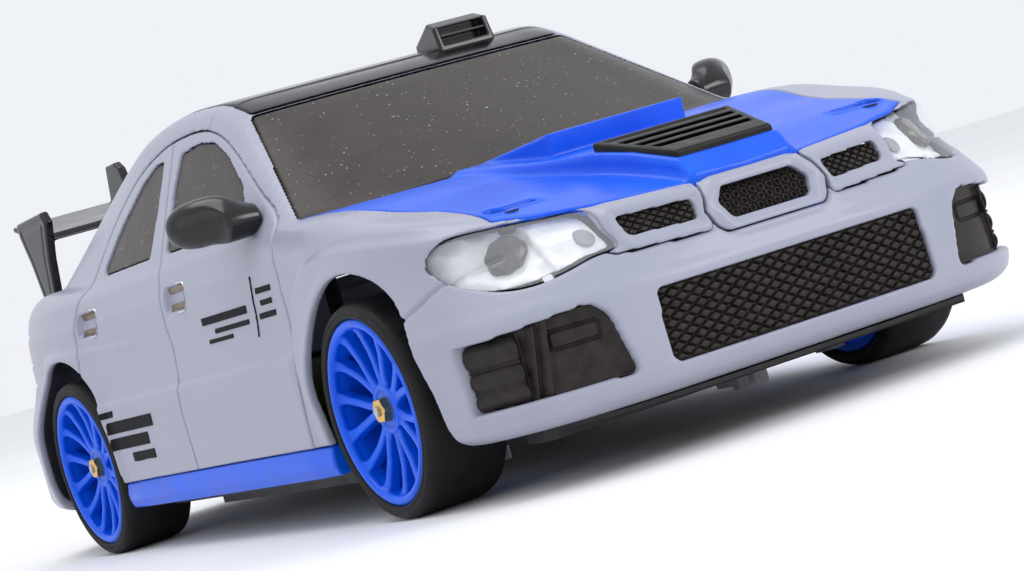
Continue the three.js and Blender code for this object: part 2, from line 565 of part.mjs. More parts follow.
function centreShaft() {
  const [y0, y1] = [FRONT_AXLE_Y + 3.9, REAR_AXLE_Y - 3.9];
  const pinion = (y) => spurGear(BEVEL_TEETH, CENTRE_SHAFT_R - 0.4, y, y + 1.3).translate([0, 0, AXLE_Z]);
  const spur = spurGear(SPUR_TEETH, CENTRE_SHAFT_R - 0.4, SPUR_Y, SPUR_Y + 2).translate([0, 0, AXLE_Z]);
  return joined([rod("y", y0, y1, 0, AXLE_Z, CENTRE_SHAFT_R), pinion(y0), pinion(y1 - 1.3), spur]);
}

function motorPinion() {
  const halfTooth = Math.PI / MOTOR_TEETH;
  const gear = spurGear(MOTOR_TEETH, 0.6, SPUR_Y - 0.3, SPUR_Y + 2.3, Math.PI + halfTooth);
  return gear.add(rod("y", SPUR_Y - 0.6, SPUR_Y + 5.6, 0, 0, 0.75, 12)).translate([MOTOR_X, 0, AXLE_Z]);
}

function motorCan() {
  const can = rod("y", SPUR_Y + 4, SPUR_Y + 25, MOTOR_X, AXLE_Z, MOTOR_R, 20);
  const flats = box(-20, 40, 0, 60, AXLE_Z - 5, AXLE_Z + 5);
  return can.intersect(flats).subtract(rod("y", SPUR_Y, SPUR_Y + 7, MOTOR_X, AXLE_Z, 0.9, 10));
}

function motorBracket() {
  const plate = box(3, 16, SPUR_Y + 2.9, SPUR_Y + 3.7, FLOOR_BOTTOM_Z, 19.6);
  return plate.subtract(rod("y", 0, 60, MOTOR_X, AXLE_Z, 2));
}

function knuckle(sign) {
  const block = box(22.7, 27.5, -4.4, 4.4, 7.4, 19.2);
  const boss = rod("x", 26.5, 31, 0, AXLE_Z, 4);
  const pins = rod("z", 3.4, 22.2, KINGPIN_X, 0, 1.2, 12);
  const reach = outline([[22.2, -2], [22.2, -10.2], [24.8, -10.2], [27, -3], [27, -2]]);
  const pin = rod("z", 15.6, 18.4, KINGPIN_X - STEER_PIN_INSET, -STEER_ARM, 0.9, 10);
  const arm = alongZ(reach, 15, 16.2).add(pin);
  const screwHead = rod("z", 3.2, 4.8, KINGPIN_X, 0, 2, 10);
  const cupRoom = rod("x", 20, 27.1, 0, AXLE_Z, 3.1).add(rod("x", 26, 32, 0, AXLE_Z, SHAFT_R + 0.08));
  return turnedTo(sign, joined([block, boss, pins, arm, screwHead]).subtract(cupRoom))
    .translate([0, FRONT_AXLE_Y, 0]);
}

function upperArm() {
  return alongZ(frontArmPlan(), 20.5, 21.8).subtract(kingpinHoles());
}

function tieRod() {
  const y = FRONT_AXLE_Y - STEER_ARM;
  const parts = [box(-24, 24, y - 1.4, y + 1, 16.6, 18)];
  const slots = [];
  for (const [, sign] of SIDES) {
    const x = sign * (KINGPIN_X - STEER_PIN_INSET);
    parts.push(alongZ(roundedRect(x - 2, x + 2, y - 1.6, y + 2.8, 0.8), 16.6, 18));
    slots.push(alongZ(roundedRect(x - 1.2, x + 1.2, y - 1.1, y + 2.2, 0.5), 15, 20));
  }
  parts.push(alongZ(roundedRect(-2.4, 2.4, y - 2.4, y + 1.6, 0.8), 16.6, 18));
  slots.push(alongZ(roundedRect(-1.2, 1.2, y - 1.75, y + 1.05, 0.5), 15, 20));
  return joined(parts).subtract(joined(slots));
}

function servoCase() {
  const shape = roundedRect(-9, 9, -84, -67.5, 1);
  const tabs = box(-12, 12, -77, -74, 7.1, 8.6);
  return alongZ(shape, FLOOR_TOP_Z + GAP, 14.4).add(tabs);
}

function servoHorn() {
  const plate = roundedRect(-1.6, 1.6, HORN_Y - 2.4, FRONT_AXLE_Y - STEER_ARM + 1.4, 1.2);
  return alongZ(plate, 15, 16.2).add(rod("z", 14.7, 17.2, 0, HORN_Y, 2.4, 10))
    .add(rod("z", 15.6, 18.4, 0, FRONT_AXLE_Y - STEER_ARM, 0.9, 10));
}

function trimLever() {
  const plate = roundedRect(-1.2, 1.2, -75, -65.4, 1);
  return alongZ(plate, 3.8, 5.1).add(rod("z", 3.4, 5.1, 0, HORN_Y, 2.2, 10)).translate([2, 0, 0]);
}

function batteryPack() {
  const [nearX, farX] = [-12.4, -24.2];
  const cell = (x) => rod("y", -24, 19, x, 14.4, 5.7, 16);
  const web = box(farX, nearX, -23.2, 18.2, 9.3, 12.2);
  return joined([cell(nearX), cell(farX), web, box(-20, -15, 17, 21, 11.4, 16)]);
}

function batteryDoor() {
  const plate = box(-30, -5, -28, 23, 4, 5.1);
  const grip = joined([0, 1, 2].map((i) => box(-22, -13, 14 + i * 2, 15 + i * 2, 3.5, 4.2)));
  const key = box(-28.6, -6.4, -26.6, 10, 5, 6.6);
  return joined([plate, grip, key]);
}

function circuitBoard() {
  const board = box(7.6, 31, -33, 6.6, 12, 13.2);
  // corner x, corner y, width, length, height
  const chips = [
    [12, -20, 8, 8, 1.2], [22, -24, 5, 4, 1], [24, -6, 3, 6, 2], [12, -4, 4, 4, 3], [20, -14, 3, 3, 1],
  ];
  return joined([board, ...chips.map(([x, y, w, d, h]) => box(x, x + w, y, y + d, 13, 13.2 + h))]);
}

function switchHousing() {
  return box(17.5, 26.5, 12.5, 25.5, FLOOR_BOTTOM_Z, 11).subtract(box(20.3, 23.7, 14.8, 23.2, 0, 9.4));
}

function switchSlider() {
  return box(20.8, 23.2, 15.4, 19, 4, 9).add(box(20.6, 23.4, 15.4, 19, 7.3, 9));
}

function bodyPost(post, sign, foot = FLOOR_TOP_Z + GAP) {
  const stem = rod("z", foot, post.top, sign * post.x, post.y, 1.3, 10);
  return stem.add(rod("z", foot, 10, sign * post.x, post.y, 2.4, 10))
    .add(rod("z", post.top - 2.4, post.top - 1, sign * post.x, post.y, 1.8, 10));
}

function addChassis() {
  addMesh(car, "chassis_tub", chassisTub(), BLACK_MATT);
  addMesh(car, "front_gear_case", gearCase(FRONT_AXLE_Y, 1), BLACK_MATT);
  addMesh(car, "rear_gear_case", gearCase(REAR_AXLE_Y, -1), BLACK_MATT);
  addMesh(car, "upper_arm", upperArm(), BLACK_MATT);
  addMesh(car, "motor_can", motorCan(), STEEL);
  addMesh(car, "motor_pinion", motorPinion(), BRASS);
  addMesh(car, "centre_shaft", centreShaft(), GEAR_WHITE);
  addMesh(car, "front_axle", frontAxle(), STEEL);
  addMesh(car, "rear_axle", rearAxle(), STEEL);
  addMesh(car, "steering_servo", servoCase(), BLACK_MATT);
  addMesh(car, "servo_horn", servoHorn(), GEAR_WHITE);
  addMesh(car, "tie_rod", tieRod(), BLACK_MATT);
  addMesh(car, "steering_trim_lever", trimLever(), STEEL);
  addMesh(car, "battery_pack", batteryPack(), BATTERY_BLUE);
  addMesh(car, "battery_door", batteryDoor(), BLACK_MATT);
  addMesh(car, "circuit_board", circuitBoard(), BOARD_GREEN);
  addMesh(car, "switch_slider", switchSlider(), BLACK_MATT);
  for (const [side, sign] of SIDES) {
    addMesh(car, `knuckle_${side}`, knuckle(sign), BLACK_MATT);
    addMesh(car, `body_post_front_${side}`, bodyPost(FRONT_POST, sign), BLACK_MATT);
    const frontWheel = addWheel("front", side, sign, FRONT_AXLE_Y);
    addMesh(frontWheel, `stub_axle_${side}`, stubAxle(sign), STEEL);
    addWheel("rear", side, sign, REAR_AXLE_Y);
  }
}

addShell();
addChassis();

export default car;
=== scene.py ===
"""Looks of a small remote control rally saloon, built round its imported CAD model.

The moulded body is drawn as a distance field in millimetres: plan outlines and side profiles give
the smooth skin, and the panels are cut from that one skin, so that they meet with fine seams.
+X is the car's left, -Y its front and +Z up.
"""
import json
import math

import bmesh
import bpy
import numpy as np
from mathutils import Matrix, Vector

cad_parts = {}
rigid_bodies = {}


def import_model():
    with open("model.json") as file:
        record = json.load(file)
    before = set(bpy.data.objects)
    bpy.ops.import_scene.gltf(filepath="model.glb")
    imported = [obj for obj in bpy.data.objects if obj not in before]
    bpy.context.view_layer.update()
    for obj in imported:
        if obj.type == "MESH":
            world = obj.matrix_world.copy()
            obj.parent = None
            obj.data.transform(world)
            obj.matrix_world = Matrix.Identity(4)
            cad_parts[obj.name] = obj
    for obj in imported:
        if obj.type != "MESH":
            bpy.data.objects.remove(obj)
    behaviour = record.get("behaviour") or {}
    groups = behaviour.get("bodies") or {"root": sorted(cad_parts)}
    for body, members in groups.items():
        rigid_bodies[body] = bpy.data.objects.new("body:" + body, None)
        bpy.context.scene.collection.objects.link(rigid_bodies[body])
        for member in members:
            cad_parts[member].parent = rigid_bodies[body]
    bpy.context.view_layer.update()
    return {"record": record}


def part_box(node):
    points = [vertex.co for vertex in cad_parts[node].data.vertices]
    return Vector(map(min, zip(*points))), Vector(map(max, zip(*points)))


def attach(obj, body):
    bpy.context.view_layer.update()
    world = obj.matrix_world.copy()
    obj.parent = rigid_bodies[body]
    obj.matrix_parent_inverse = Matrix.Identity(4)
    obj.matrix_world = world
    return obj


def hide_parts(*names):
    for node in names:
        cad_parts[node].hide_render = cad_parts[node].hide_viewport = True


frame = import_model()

import openvdb
from mathutils import Matrix, Vector

MM = 0.001
COARSE = 1.0
MOST_TRIANGLES = 190000
BODY = "shell"
WHOLE_SHELL = "body_shell"
SIDES = ("left", "right")
SHARP_ANGLE = math.radians(58)
HONEYCOMB = math.sqrt(3) / 2
FAR = 9.0


def node_box(name):
    """Lowest and highest corner of a CAD node in millimetres."""
    low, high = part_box(name)
    return np.array(low) / MM, np.array(high) / MM


TYRE_LOW, TYRE_HIGH = node_box("tyre_front_left")
TYRE_R = (TYRE_HIGH[2] - TYRE_LOW[2]) / 2
AXLE_Z = TYRE_R
FRONT_AXLE_Y = (TYRE_LOW[1] + TYRE_HIGH[1]) / 2
REAR_AXLE_Y = sum(node_box("tyre_rear_left")[i][1] for i in (0, 1)) / 2
TYRE_INNER_X, TYRE_OUTER_X = TYRE_LOW[0], TYRE_HIGH[0]
SHELL_BOTTOM_Z = 7.2
BELT_Z = 37.6
ROOF_OUTLINE_Z = 56
SKIN = 1.2
SEAM = 0.07
ARCH_R = 16.7
FRONT_ARCH_Y = FRONT_AXLE_Y - 1.3
REAR_ARCH_Y = REAR_AXLE_Y + 1.0
AXLES = (("front", FRONT_AXLE_Y), ("rear", REAR_AXLE_Y))
SKIRT_TOP_Z = 10.4
SKIRT_Y = (-40, 37.8)


# ---------------------------------------------------------------- curves and flat distances
def spline(points, closed, per=5):
    """Points of a smooth curve through the given ones."""
    pts = np.array(points, float)
    count = len(pts)
    out = []
    spans = count if closed else count - 1
    for i in range(spans):
        if closed:
            p0, p1, p2, p3 = (pts[(i + k) % count] for k in (-1, 0, 1, 2))
        else:
            p0, p1, p2, p3 = (pts[min(max(i + k, 0), count - 1)] for k in (-1, 0, 1, 2))
        for t in np.arange(per) / per:
            a = 2 * p1 + (p2 - p0) * t
            b = (2 * p0 - 5 * p1 + 4 * p2 - p3) * t**2
            c = (3 * p1 - p0 - 3 * p2 + p3) * t**3
            out.append((a + b + c) / 2)
    if not closed:
        out.append(pts[-1])
    return np.array(out)


def line_distance(points, a, b, closed=False):
    """Distance from each place (a, b) to a run of points."""
    A, B = np.meshgrid(a, b, indexing="ij")
    best = np.full(A.shape, 1e9, np.float32)
    ends = np.roll(points, -1, 0) if closed else points[1:]
    for (x0, y0), (x1, y1) in zip(points, ends):
        dx, dy = x1 - x0, y1 - y0
        t = ((A - x0) * dx + (B - y0) * dy) / max(dx * dx + dy * dy, 1e-9)
        t = np.clip(t, 0, 1)
        np.minimum(best, (A - x0 - t * dx) ** 2 + (B - y0 - t * dy) ** 2, out=best)
    return np.sqrt(best)


def ring_distance(points, a, b):
    """Signed distance to a closed outline, negative inside."""
    points = np.array(points, float)
    A, B = np.meshgrid(a, b, indexing="ij")
    inside = np.zeros(A.shape, bool)
    for (x0, y0), (x1, y1) in zip(points, np.roll(points, -1, 0)):
        if y0 == y1:
            continue
        crosses = (y0 > B) != (y1 > B)
        inside ^= crosses & (A < (x1 - x0) * (B - y0) / (y1 - y0) + x0)
    distance = line_distance(points, a, b, closed=True)
    return np.where(inside, -distance, distance).astype(np.float32)


def rounded_ring(points, a, b, radius):
    """Signed distance to an outline whose corners are rounded off."""
    return inner_offset(points, a, b, radius) - radius


def inner_offset(points, a, b, radius):
    """Distance to the outline moved inwards by the radius, on a grid that goes past it."""
    flat = ring_distance(points, a, b) + radius
    step = min(abs(a[1] - a[0]), abs(b[1] - b[0]))
    if radius < 2 * step:
        return flat
    A, B = np.meshgrid(a, b, indexing="ij")
    core = flat <= 0
    deep = np.roll(core, 1, 0) & np.roll(core, -1, 0) & np.roll(core, 1, 1) & np.roll(core, -1, 1)
    edge = core & ~deep
    if not edge.any():
        return flat
    near = np.full(A.shape, 1e9, np.float32)
    for x, y in zip(A[edge], B[edge]):
        np.minimum(near, (A - x) ** 2 + (B - y) ** 2, out=near)
    return np.where(core, flat, np.sqrt(near)).astype(np.float32)


def smooth_max(a, b, k):
    """The larger of two fields, blended where they are within k of each other."""
    h = np.clip(0.5 + (a - b) / (2 * k), 0, 1)
    return b + (a - b) * h + k * h * (1 - h)


def smooth_min(a, b, k):
    return -smooth_max(-a, -b, k)


def common(*fields):
    """What lies inside every one of the fields."""
    inside = fields[0]
    for field in fields[1:]:
        inside = np.maximum(inside, field)
    return inside


def ease(t):
    """Soft step from 0 to 1."""
    t = np.clip(t, 0, 1)
    return t * t * (3 - 2 * t)


def hump(distance, width):
    """Smooth hump, 1 high where the distance is nought."""
    return np.exp(-((distance / width) ** 2))


def box_distance(a, b, half_a, half_b):
    """Distance to a flat rectangle about the origin."""
    return np.hypot(np.maximum(abs(a) - half_a, 0), np.maximum(abs(b) - half_b, 0))


def on_xy(flat):
    return flat[:, :, None]


def on_yz(flat):
    return flat[None, :, :]


def on_xz(flat):
    return flat[:, None, :]


class Grid:
    """Axes of a block of space, with x folded to the left half."""

    def __init__(self, low, high, step):
        self.step = step
        self.low = np.array(low, float)
        self.x, self.y, self.z = (np.arange(a, b + step, step) for a, b in zip(low, high))
        self.ax = np.abs(self.x)
        self.X = self.ax[:, None, None]
        self.Y = self.y[None, :, None]
        self.Z = self.z[None, None, :]
        self.side = self.y[:, None], self.z[None, :]
        self.front = self.ax[:, None], self.z[None, :]


def plan_view(g, outline):
    """A plan outline carried up and down."""
    return on_xy(ring_distance(outline, g.x, g.y))


def side_view(g, outline, radius=0):
    """A side view outline carried across, with its corners rounded off."""
    return on_yz(rounded_ring(outline, g.y, g.z, radius))


def front_view(g, outline, radius=0):
    """A front view outline carried along, with its corners rounded off."""
    return on_xz(rounded_ring(outline, g.ax, g.z, radius))


# ---------------------------------------------------------------- the moulded body
# Left halves of the plan outlines, from the nose to the tail, as x and y.
BUMPER_HALF = [
    [0, -92.3], [10, -92.2], [19, -91.6], [26, -90.1], [31.5, -87.2], [35.5, -82.6], [38, -76],
    [39.2, -65], [39.3, -48], [38.5, -36], [38.3, 0], [38.8, 34], [40.2, 44], [40.3, 58], [38.6, 71],
    [35.8, 81], [31, 87.5], [24, 90.8], [12, 92.1], [0, 92.3],
]
BONNET_HALF = [
    [0, -89.6], [8, -89.1], [20, -86.4], [26, -83.6], [30.5, -80], [34, -74.5], [36.6, -67],
    [37.8, -58], [37.8, -47], [37.2, -36], [37, 0], [37.2, 34], [37.8, 46], [37.6, 58], [36.4, 68],
    [34, 77], [30, 83.5], [24, 87.5], [12, 89.6], [0, 90],
]
GLASS_FOOT_HALF = [
    [0, -46.5], [12, -45.2], [22, -42.6], [29.5, -39.6], [34.6, -33], [35.2, -15], [35.2, 10],
    [34.6, 34], [33.2, 55], [31, 69], [27, 74.5], [14, 77], [0, 77.5],
]
ROOF_HALF = [
    [0, -11.6], [10, -11.3], [18, -10.6], [22.5, -9.8], [25.4, -6.5], [26, -1], [26, 10], [25.5, 24],
    [24.5, 30], [23, 34], [20.5, 37], [10, 39], [0, 39.5],
]
# Lines of the side view, as y and z.
SIDE_TOP = [
    [-98, 24], [-94, 26.6], [-89.5, 28.2], [-85.8, 29.1], [-80, 30.8], [-73, 32.5], [-60, 34.9],
    [-46, 37.6], [-20, 38.4], [40, 39.4], [66, 40.6], [84, 40.2], [90.5, 38.4], [98, 32],
]
ROOF_TOP = [
    [-70, 47], [-14, 55.2], [-8, 56.4], [0, 57.3], [10, 57.9], [20, 57.5], [30, 56.1], [40, 53.7],
    [60, 48], [85, 40],
]
DOOR_FRONT_SEAM = [
    [4, 54.6], [-2, 54.1], [-8.5, 52.4], [-14.9, 49.3], [-24.7, 43.5], [-31, 39.9], [-33.4, 37.2],
    [-35, 33], [-35.4, 29], [-36.1, 22.2], [-35.2, 15.2], [-34.7, 9],
]
DOOR_MIDDLE_SEAM = [[10.2, 54.2], [9.3, 46], [8, 38.6], [7.3, 31], [6.1, 25], [6.1, 18], [6.3, 9]]
DOOR_REAR_SEAM = [
    [4, 54.6], [14, 54.3], [25, 51.8], [34, 46.6], [40.2, 39.6], [43.4, 33.5], [42.5, 27],
]
BUMPER_SIDE_SEAM = [[-80.5, 26.6], [-76, 25.6], [-72.4, 23.9], [-69, 22.4]]
REAR_BUMPER_SEAM = [[66, 25.5], [74, 27.5], [95, 28.2]]
BLISTER_EDGE = [
    [-78, 31.2], [-70, 32.2], [-60, 33.4], [-50, 33.6], [-43, 32.2], [-38.5, 29.4], [-36.6, 25],
]
HANDLES = [[2.1, 33.6], [38.4, 34.0]]


def whole(half):
    """A closed outline from its left half, nose to tail."""
    return [list(p) for p in half] + [[-x, y] for x, y in reversed(half[1:-1])]


def below(top, depth):
    """A top line closed down to a level."""
    return top + [[top[-1][0], depth], [top[0][0], depth]]


def lower_body(g):
    """The hull of the car up to the waist, with fenders, bonnet and boot lid."""
    bumper = plan_view(g, spline(whole(BUMPER_HALF), True))
    bonnet = plan_view(g, spline(whole(BONNET_HALF), True))
    rise = ease((g.Z - 18.5) / 11)
    tuck = np.interp(g.Z, [6.8, 8.2, 10, 30, 34, 37.6, 43], [1.2, 0.5, 0.1, 0.1, 0.5, 1.7, 5])
    sides = bumper * (1 - rise) + bonnet * rise + tuck + side_relief(g)
    top = below(spline(SIDE_TOP, False).tolist(), SHELL_BOTTOM_Z)
    profile = side_view(g, top)
    return smooth_max(sides, profile, 2.6)


def lofted(g, first, last, low, high, levels):
    """Distance across to an outline that changes evenly with height, clamped past both ends."""
    first, last = spline(whole(first), True), spline(whole(last), True)
    heights = np.clip((g.z - low) / (high - low), 0, 1.12) * levels
    steps = np.floor(heights).astype(int)
    flats = {}
    for level in sorted(set(steps) | set(steps + 1)):
        share = level / levels
        flats[level] = ring_distance(first * (1 - share) + last * share, g.x, g.y)
    out = np.empty((len(g.x), len(g.y), len(g.z)), np.float32)
    for k, (step, height) in enumerate(zip(steps, heights)):
        part = height - step
        out[:, :, k] = flats[step] * (1 - part) + flats[step + 1] * part
    return out


def cabin(g):
    """The glasshouse and roof, leaning in with height."""
    sides = lofted(g, GLASS_FOOT_HALF, ROOF_HALF, BELT_Z, ROOF_OUTLINE_Z, 14) * 0.86
    profile = side_view(g, below(spline(ROOF_TOP, False).tolist(), 25))
    return smooth_max(sides, profile, 2.2)


def side_seams(g, lines, depth):
    """Narrow grooves along lines drawn in side view."""
    cut = np.zeros((len(g.y), len(g.z)), np.float32)
    for line in lines:
        distance = line_distance(spline(line, False), g.y, g.z)
        cut = np.maximum(cut, depth * hump(distance, 0.27))
    return cut


def side_relief(g):
    """Creases, seams, handle pockets and arch lips of the flanks; positive goes in."""
    y, z = g.side
    relief = np.zeros((len(g.y), len(g.z)), np.float32)
    doors = ease((y + 37) / 3) * ease((45 - y) / 4)
    relief -= 0.38 * ease((22.6 - z) / 0.9) * doors
    waist_fade = ease((y - 14) / 14) * ease((62 - y) / 6)
    relief -= 0.3 * ease((30.3 + 0.04 * (y - 24) - z) / 0.8) * ease((z - 24) / 3) * waist_fade
    blister = line_distance(spline(BLISTER_EDGE, False), g.y, g.z)
    under = z < np.interp(y, [p[0] for p in BLISTER_EDGE], [p[1] for p in BLISTER_EDGE])
    fender = ease((-36.2 - y) / 1.5) * ease((y + 80) / 6)
    relief -= 0.7 * np.where(under, ease(blister / 1.2), 0) * fender * ease((z - 12) / 6)
    for centre, flare in ((FRONT_ARCH_Y, 0.35), (REAR_ARCH_Y, 0.5)):
        radius = np.hypot(y - centre, z - AXLE_Z)
        relief -= flare * hump(radius - ARCH_R - 0.2, 1.3) * ease((z - 9) / 4)
    for hy, hz in HANDLES:
        pocket = box_distance(y - hy, z - hz, 3.1, 0.9) - 0.7
        relief += 1.1 * ease(0.5 - pocket / 0.7)
    seams = side_seams(g, [BUMPER_SIDE_SEAM, REAR_BUMPER_SEAM], 0.5)
    return on_yz(relief + seams) * ease((g.X - 26) / 4)


# Outlines of the front and rear view, as x and z; all but the middle ones are of the left side.
CENTRE_GRILLE = [[-5.3, 23.5], [5.3, 23.5], [6.2, 25.6], [4.9, 27.2], [-4.9, 27.2], [-6.2, 25.6]]
SIDE_GRILLE = [[9.4, 24.5], [17.7, 24.9], [18.1, 27.3], [8.9, 26.9]]
LOWER_GRILLE = [[-17.6, 10.0], [17.6, 10.0], [18.4, 11], [18.1, 18.6], [-18.1, 18.6], [-18.4, 11]]
FOG_PANEL = [
    [22.3, 10.3], [45, 10.7], [45, 18.1], [36, 18.3], [30, 18.9], [26.6, 19.2], [25.2, 18.9],
    [24.2, 18.0], [23.6, 16.6],
]
FOG_BACK_Y = -78.1
CENTRE_SURROUND = [
    [-6.6, 22.1], [6.6, 22.1], [7.6, 22.9], [8.3, 24.9], [7.2, 28], [7.0, 31], [-7.0, 31], [-7.2, 28],
    [-8.3, 24.9], [-7.6, 22.9],
]
SIDE_SURROUND = [
    [7.9, 22.7], [20.4, 23.3], [21.6, 26], [22.4, 31], [7.1, 31], [7.3, 28], [8.4, 24.9],
]
HEADLIGHT_LINE = [
    [20.3, 28.9], [19.9, 26.4], [19.6, 24.2], [22.6, 23.8], [26, 23.1], [29.2, 22.7], [32, 23.1],
    [34.0, 24.6], [35.1, 26.6], [34.9, 28.8], [33.2, 30.2], [29, 30.0], [24.6, 29.5],
]
TAIL_LIGHT = [[22, 30.4], [45, 31], [45, 35.3], [24, 35.2]]
BOOT_LID_SEAM = [[36, 28.2], [21, 28.2], [18.6, 27.2], [16.8, 20.9], [15.4, 20.2], [0, 20.2]]
BOOT_SIDE_SEAM = [[20.6, 28.4], [20.6, 32], [21.6, 38]]
PLATE = [[0, 22.2], [11, 22.2], [10.6, 27.0], [0, 27.0]]
DIFFUSER = [[0, 8.6], [15, 8.6], [13.4, 12.6], [0, 12.6]]
WINDSCREEN = [[-33, 36.8], [33, 36.8], [24.4, 53.6], [-24.4, 53.6]]
REAR_WINDOW = [[-27.5, 42.6], [27.5, 42.6], [22.4, 52.2], [-22.4, 52.2]]
SCREEN_BACK_Y = 5
REAR_WINDOW_FROM_Y = 28
TAIL_LIGHT_FROM_Y = 71.6
GLASS_FROM_X = 18
DOORS_FROM_X = 20
ROOF_FROM_Z = 53.95
VENT_FROM_Z = 30.5
# Panels cut in plan, left halves as x and y.
BONNET_REAR_EDGE = [[0, -45.2], [10.5, -44.7], [18.5, -43.2], [26.4, -41.0], [33.4, -37.7]]
BONNET_HALF_PLAN = [
    [0, -88.0], [6.6, -87.7], [8.2, -87.2], [19, -84.8], [25, -82.4], [28.9, -79.2], [28.2, -73],
    [28.0, -66], [29.6, -58], [33.2, -41], [33.2, -37.8], [26.4, -41.1], [18.5, -43.3], [10.5, -44.8],
    [0, -45.3],
]
ROOF_HALF_PLAN = [[0, -30], [23.8, -30], [24, -9], [23.6, 10], [23, 26], [20.5, 36], [0, 38]]
# Side windows, as y and z.
FRONT_WINDOW = [
    [6.7, 39.7], [7.3, 48.2], [6.6, 52.4], [0, 52.9], [-6.5, 52], [-12.5, 49.4], [-19.6, 44.9],
    [-22.4, 41.4], [-22.2, 39.5],
]
REAR_DOOR_WINDOW = [
    [13.3, 39.9], [13.0, 46], [13.4, 52.6], [17.5, 52.4], [22.6, 50.6], [30.1, 45.8], [35.6, 40.6],
    [35.6, 40.0],
]


def nose_relief(g):
    """Soft raised rims round the grilles and a shallow crease across the bumper."""
    relief = np.zeros((len(g.x), len(g.z)), np.float32)
    for outline, reach in ((CENTRE_GRILLE, 1.0), (SIDE_GRILLE, 0.9)):
        away = ring_distance(outline, g.ax, g.z)
        relief -= 0.38 * hump(away - reach, 0.75)
    crease = np.interp(g.ax, [0, 12, 22, 30, 40], [20.9, 20.9, 21.4, 21.6, 21.6])
    relief -= 0.25 * ease((crease[:, None] - g.z[None, :]) / 1.6)
    return on_xz(relief) * ease((-70 - g.Y) / 6)


def rear_relief(g):
    """Boot-lid seams, a plain plate recess and a ribbed lower panel in the tail; positive goes in."""
    if g.y[-1] < 80:
        return 0.0
    relief = np.zeros((len(g.x), len(g.z)), np.float32)
    for line in (BOOT_LID_SEAM, BOOT_SIDE_SEAM):
        distance = line_distance(spline(line, False), g.ax, g.z)
        relief = np.maximum(relief, 0.45 * hump(distance, 0.3))
    for outline, depth in ((PLATE, 0.7), (DIFFUSER, 1.0)):
        relief = np.maximum(relief, depth * ease(-ring_distance(whole(outline), g.ax, g.z) / 0.5))
    ribs = 0.8 * hump(g.ax % 4.0 - 2.0, 0.45)
    relief = relief - ribs[:, None] * ease(-ring_distance(whole(DIFFUSER), g.ax, g.z) / 0.5)
    return on_xz(relief) * ease((g.Y - 74) / 6)


def arches(g):
    """Wheel openings in side view, open below the axles."""
    y, z = g.side
    cut = np.full((len(g.y), len(g.z)), 1e3, np.float32)
    for centre in (FRONT_ARCH_Y, REAR_ARCH_Y):
        circle = np.hypot(y - centre, z - AXLE_Z) - ARCH_R
        slot = np.maximum(abs(y - centre) - ARCH_R, z - AXLE_Z)
        cut = np.minimum(cut, np.minimum(circle, slot))
    return on_yz(cut)


BULGE_SIDE = [
    [-92, 24], [-88.6, 28.4], [-85.6, 31.6], [-78.5, 33.9], [-72.4, 35.3], [-61.6, 36.2], [-46, 38.2],
    [-40, 38.6], [-40, 24],
]
SCOOP_SIDE = [[-62.0, 33], [-62.6, 39.1], [-44, 38.4], [-38, 38.2], [-38, 33]]
VENT_SIDE = [[-85.5, 31.0], [-85.5, 32.5], [-72.2, 36.4], [-72.2, 33.4]]
VENT_HALF_PLAN = [[0, -85.4], [6.6, -85.2], [9.8, -72.4], [0, -72.4]]
BULGE_HALF_PLAN = [
    [0, -90], [6.9, -90], [7.6, -84], [10.9, -71], [12.5, -58], [14, -46], [14, -38], [0, -38],
]


def bonnet_skin(g):
    """Lower body with the power bulge and the step of the scoop."""
    base = lower_body(g)
    bulge = smooth_max(side_view(g, BULGE_SIDE),
                       plan_view(g, whole(BULGE_HALF_PLAN)), 0.9)
    scoop = smooth_max(side_view(g, SCOOP_SIDE), g.X - 9.9, 0.35)
    return smooth_min(smooth_min(base, bulge, 1.1), scoop, 0.35)


def skin_of(field, thickness=SKIN):
    """A wall of a solid, kept under its surface."""
    return np.maximum(field, -(field + thickness))


def side_region(points, g, radius=0.8):
    """A side view outline carried through the flank."""
    flat = side_view(g, points, radius)
    return np.maximum(flat, GLASS_FROM_X - g.X)


def nose_region(points, g, radius=0.4, back=-70.0):
    """A front view outline carried through the nose, as far back as asked."""
    flat = front_view(g, points, radius)
    return np.maximum(flat, g.Y - back)


def headlight_region(g):
    return nose_region(spline(HEADLIGHT_LINE, True, 4), g, 0.0) - 0.06


def tail_region(g):
    return np.maximum(front_view(g, TAIL_LIGHT, 0.5), TAIL_LIGHT_FROM_Y - g.Y)


def windscreen_region(g):
    """The windscreen outline, kept behind the curved rear edge of the bonnet."""
    behind = np.interp(g.X, *zip(*BONNET_REAR_EDGE)) - g.Y
    return common(front_view(g, WINDSCREEN, 0.8), g.Y - SCREEN_BACK_Y, behind)


def rear_window_region(g):
    return np.maximum(front_view(g, REAR_WINDOW, 1.2), REAR_WINDOW_FROM_Y - g.Y)


def roof_region(g):
    flat = plan_view(g, whole(ROOF_HALF_PLAN))
    return np.maximum(flat, ROOF_FROM_Z - g.Z)


def bonnet_region(g):
    return plan_view(g, whole(BONNET_HALF_PLAN))


def doors_region(g):
    """The doors of both sides, out to the seams in side view."""
    edge = spline(DOOR_FRONT_SEAM, False).tolist() + [[-34.6, 4], [43, 4]]
    edge += spline(DOOR_REAR_SEAM, False).tolist()[::-1]
    return np.maximum(side_view(g, edge), DOORS_FROM_X - g.X)


def middle_seam(g):
    """Distance behind the seam between the front and rear doors."""
    edge = spline(DOOR_MIDDLE_SEAM, False)[::-1]
    return on_yz(g.y[:, None] - np.interp(g.z, edge[:, 1], edge[:, 0])[None, :])


def car_body_plain(g):
    """The whole car without the reliefs of nose and tail."""
    return smooth_min(lower_body(g), cabin(g), 0.7)


def car_body(g):
    return car_body_plain(g) + nose_relief(g) + rear_relief(g)


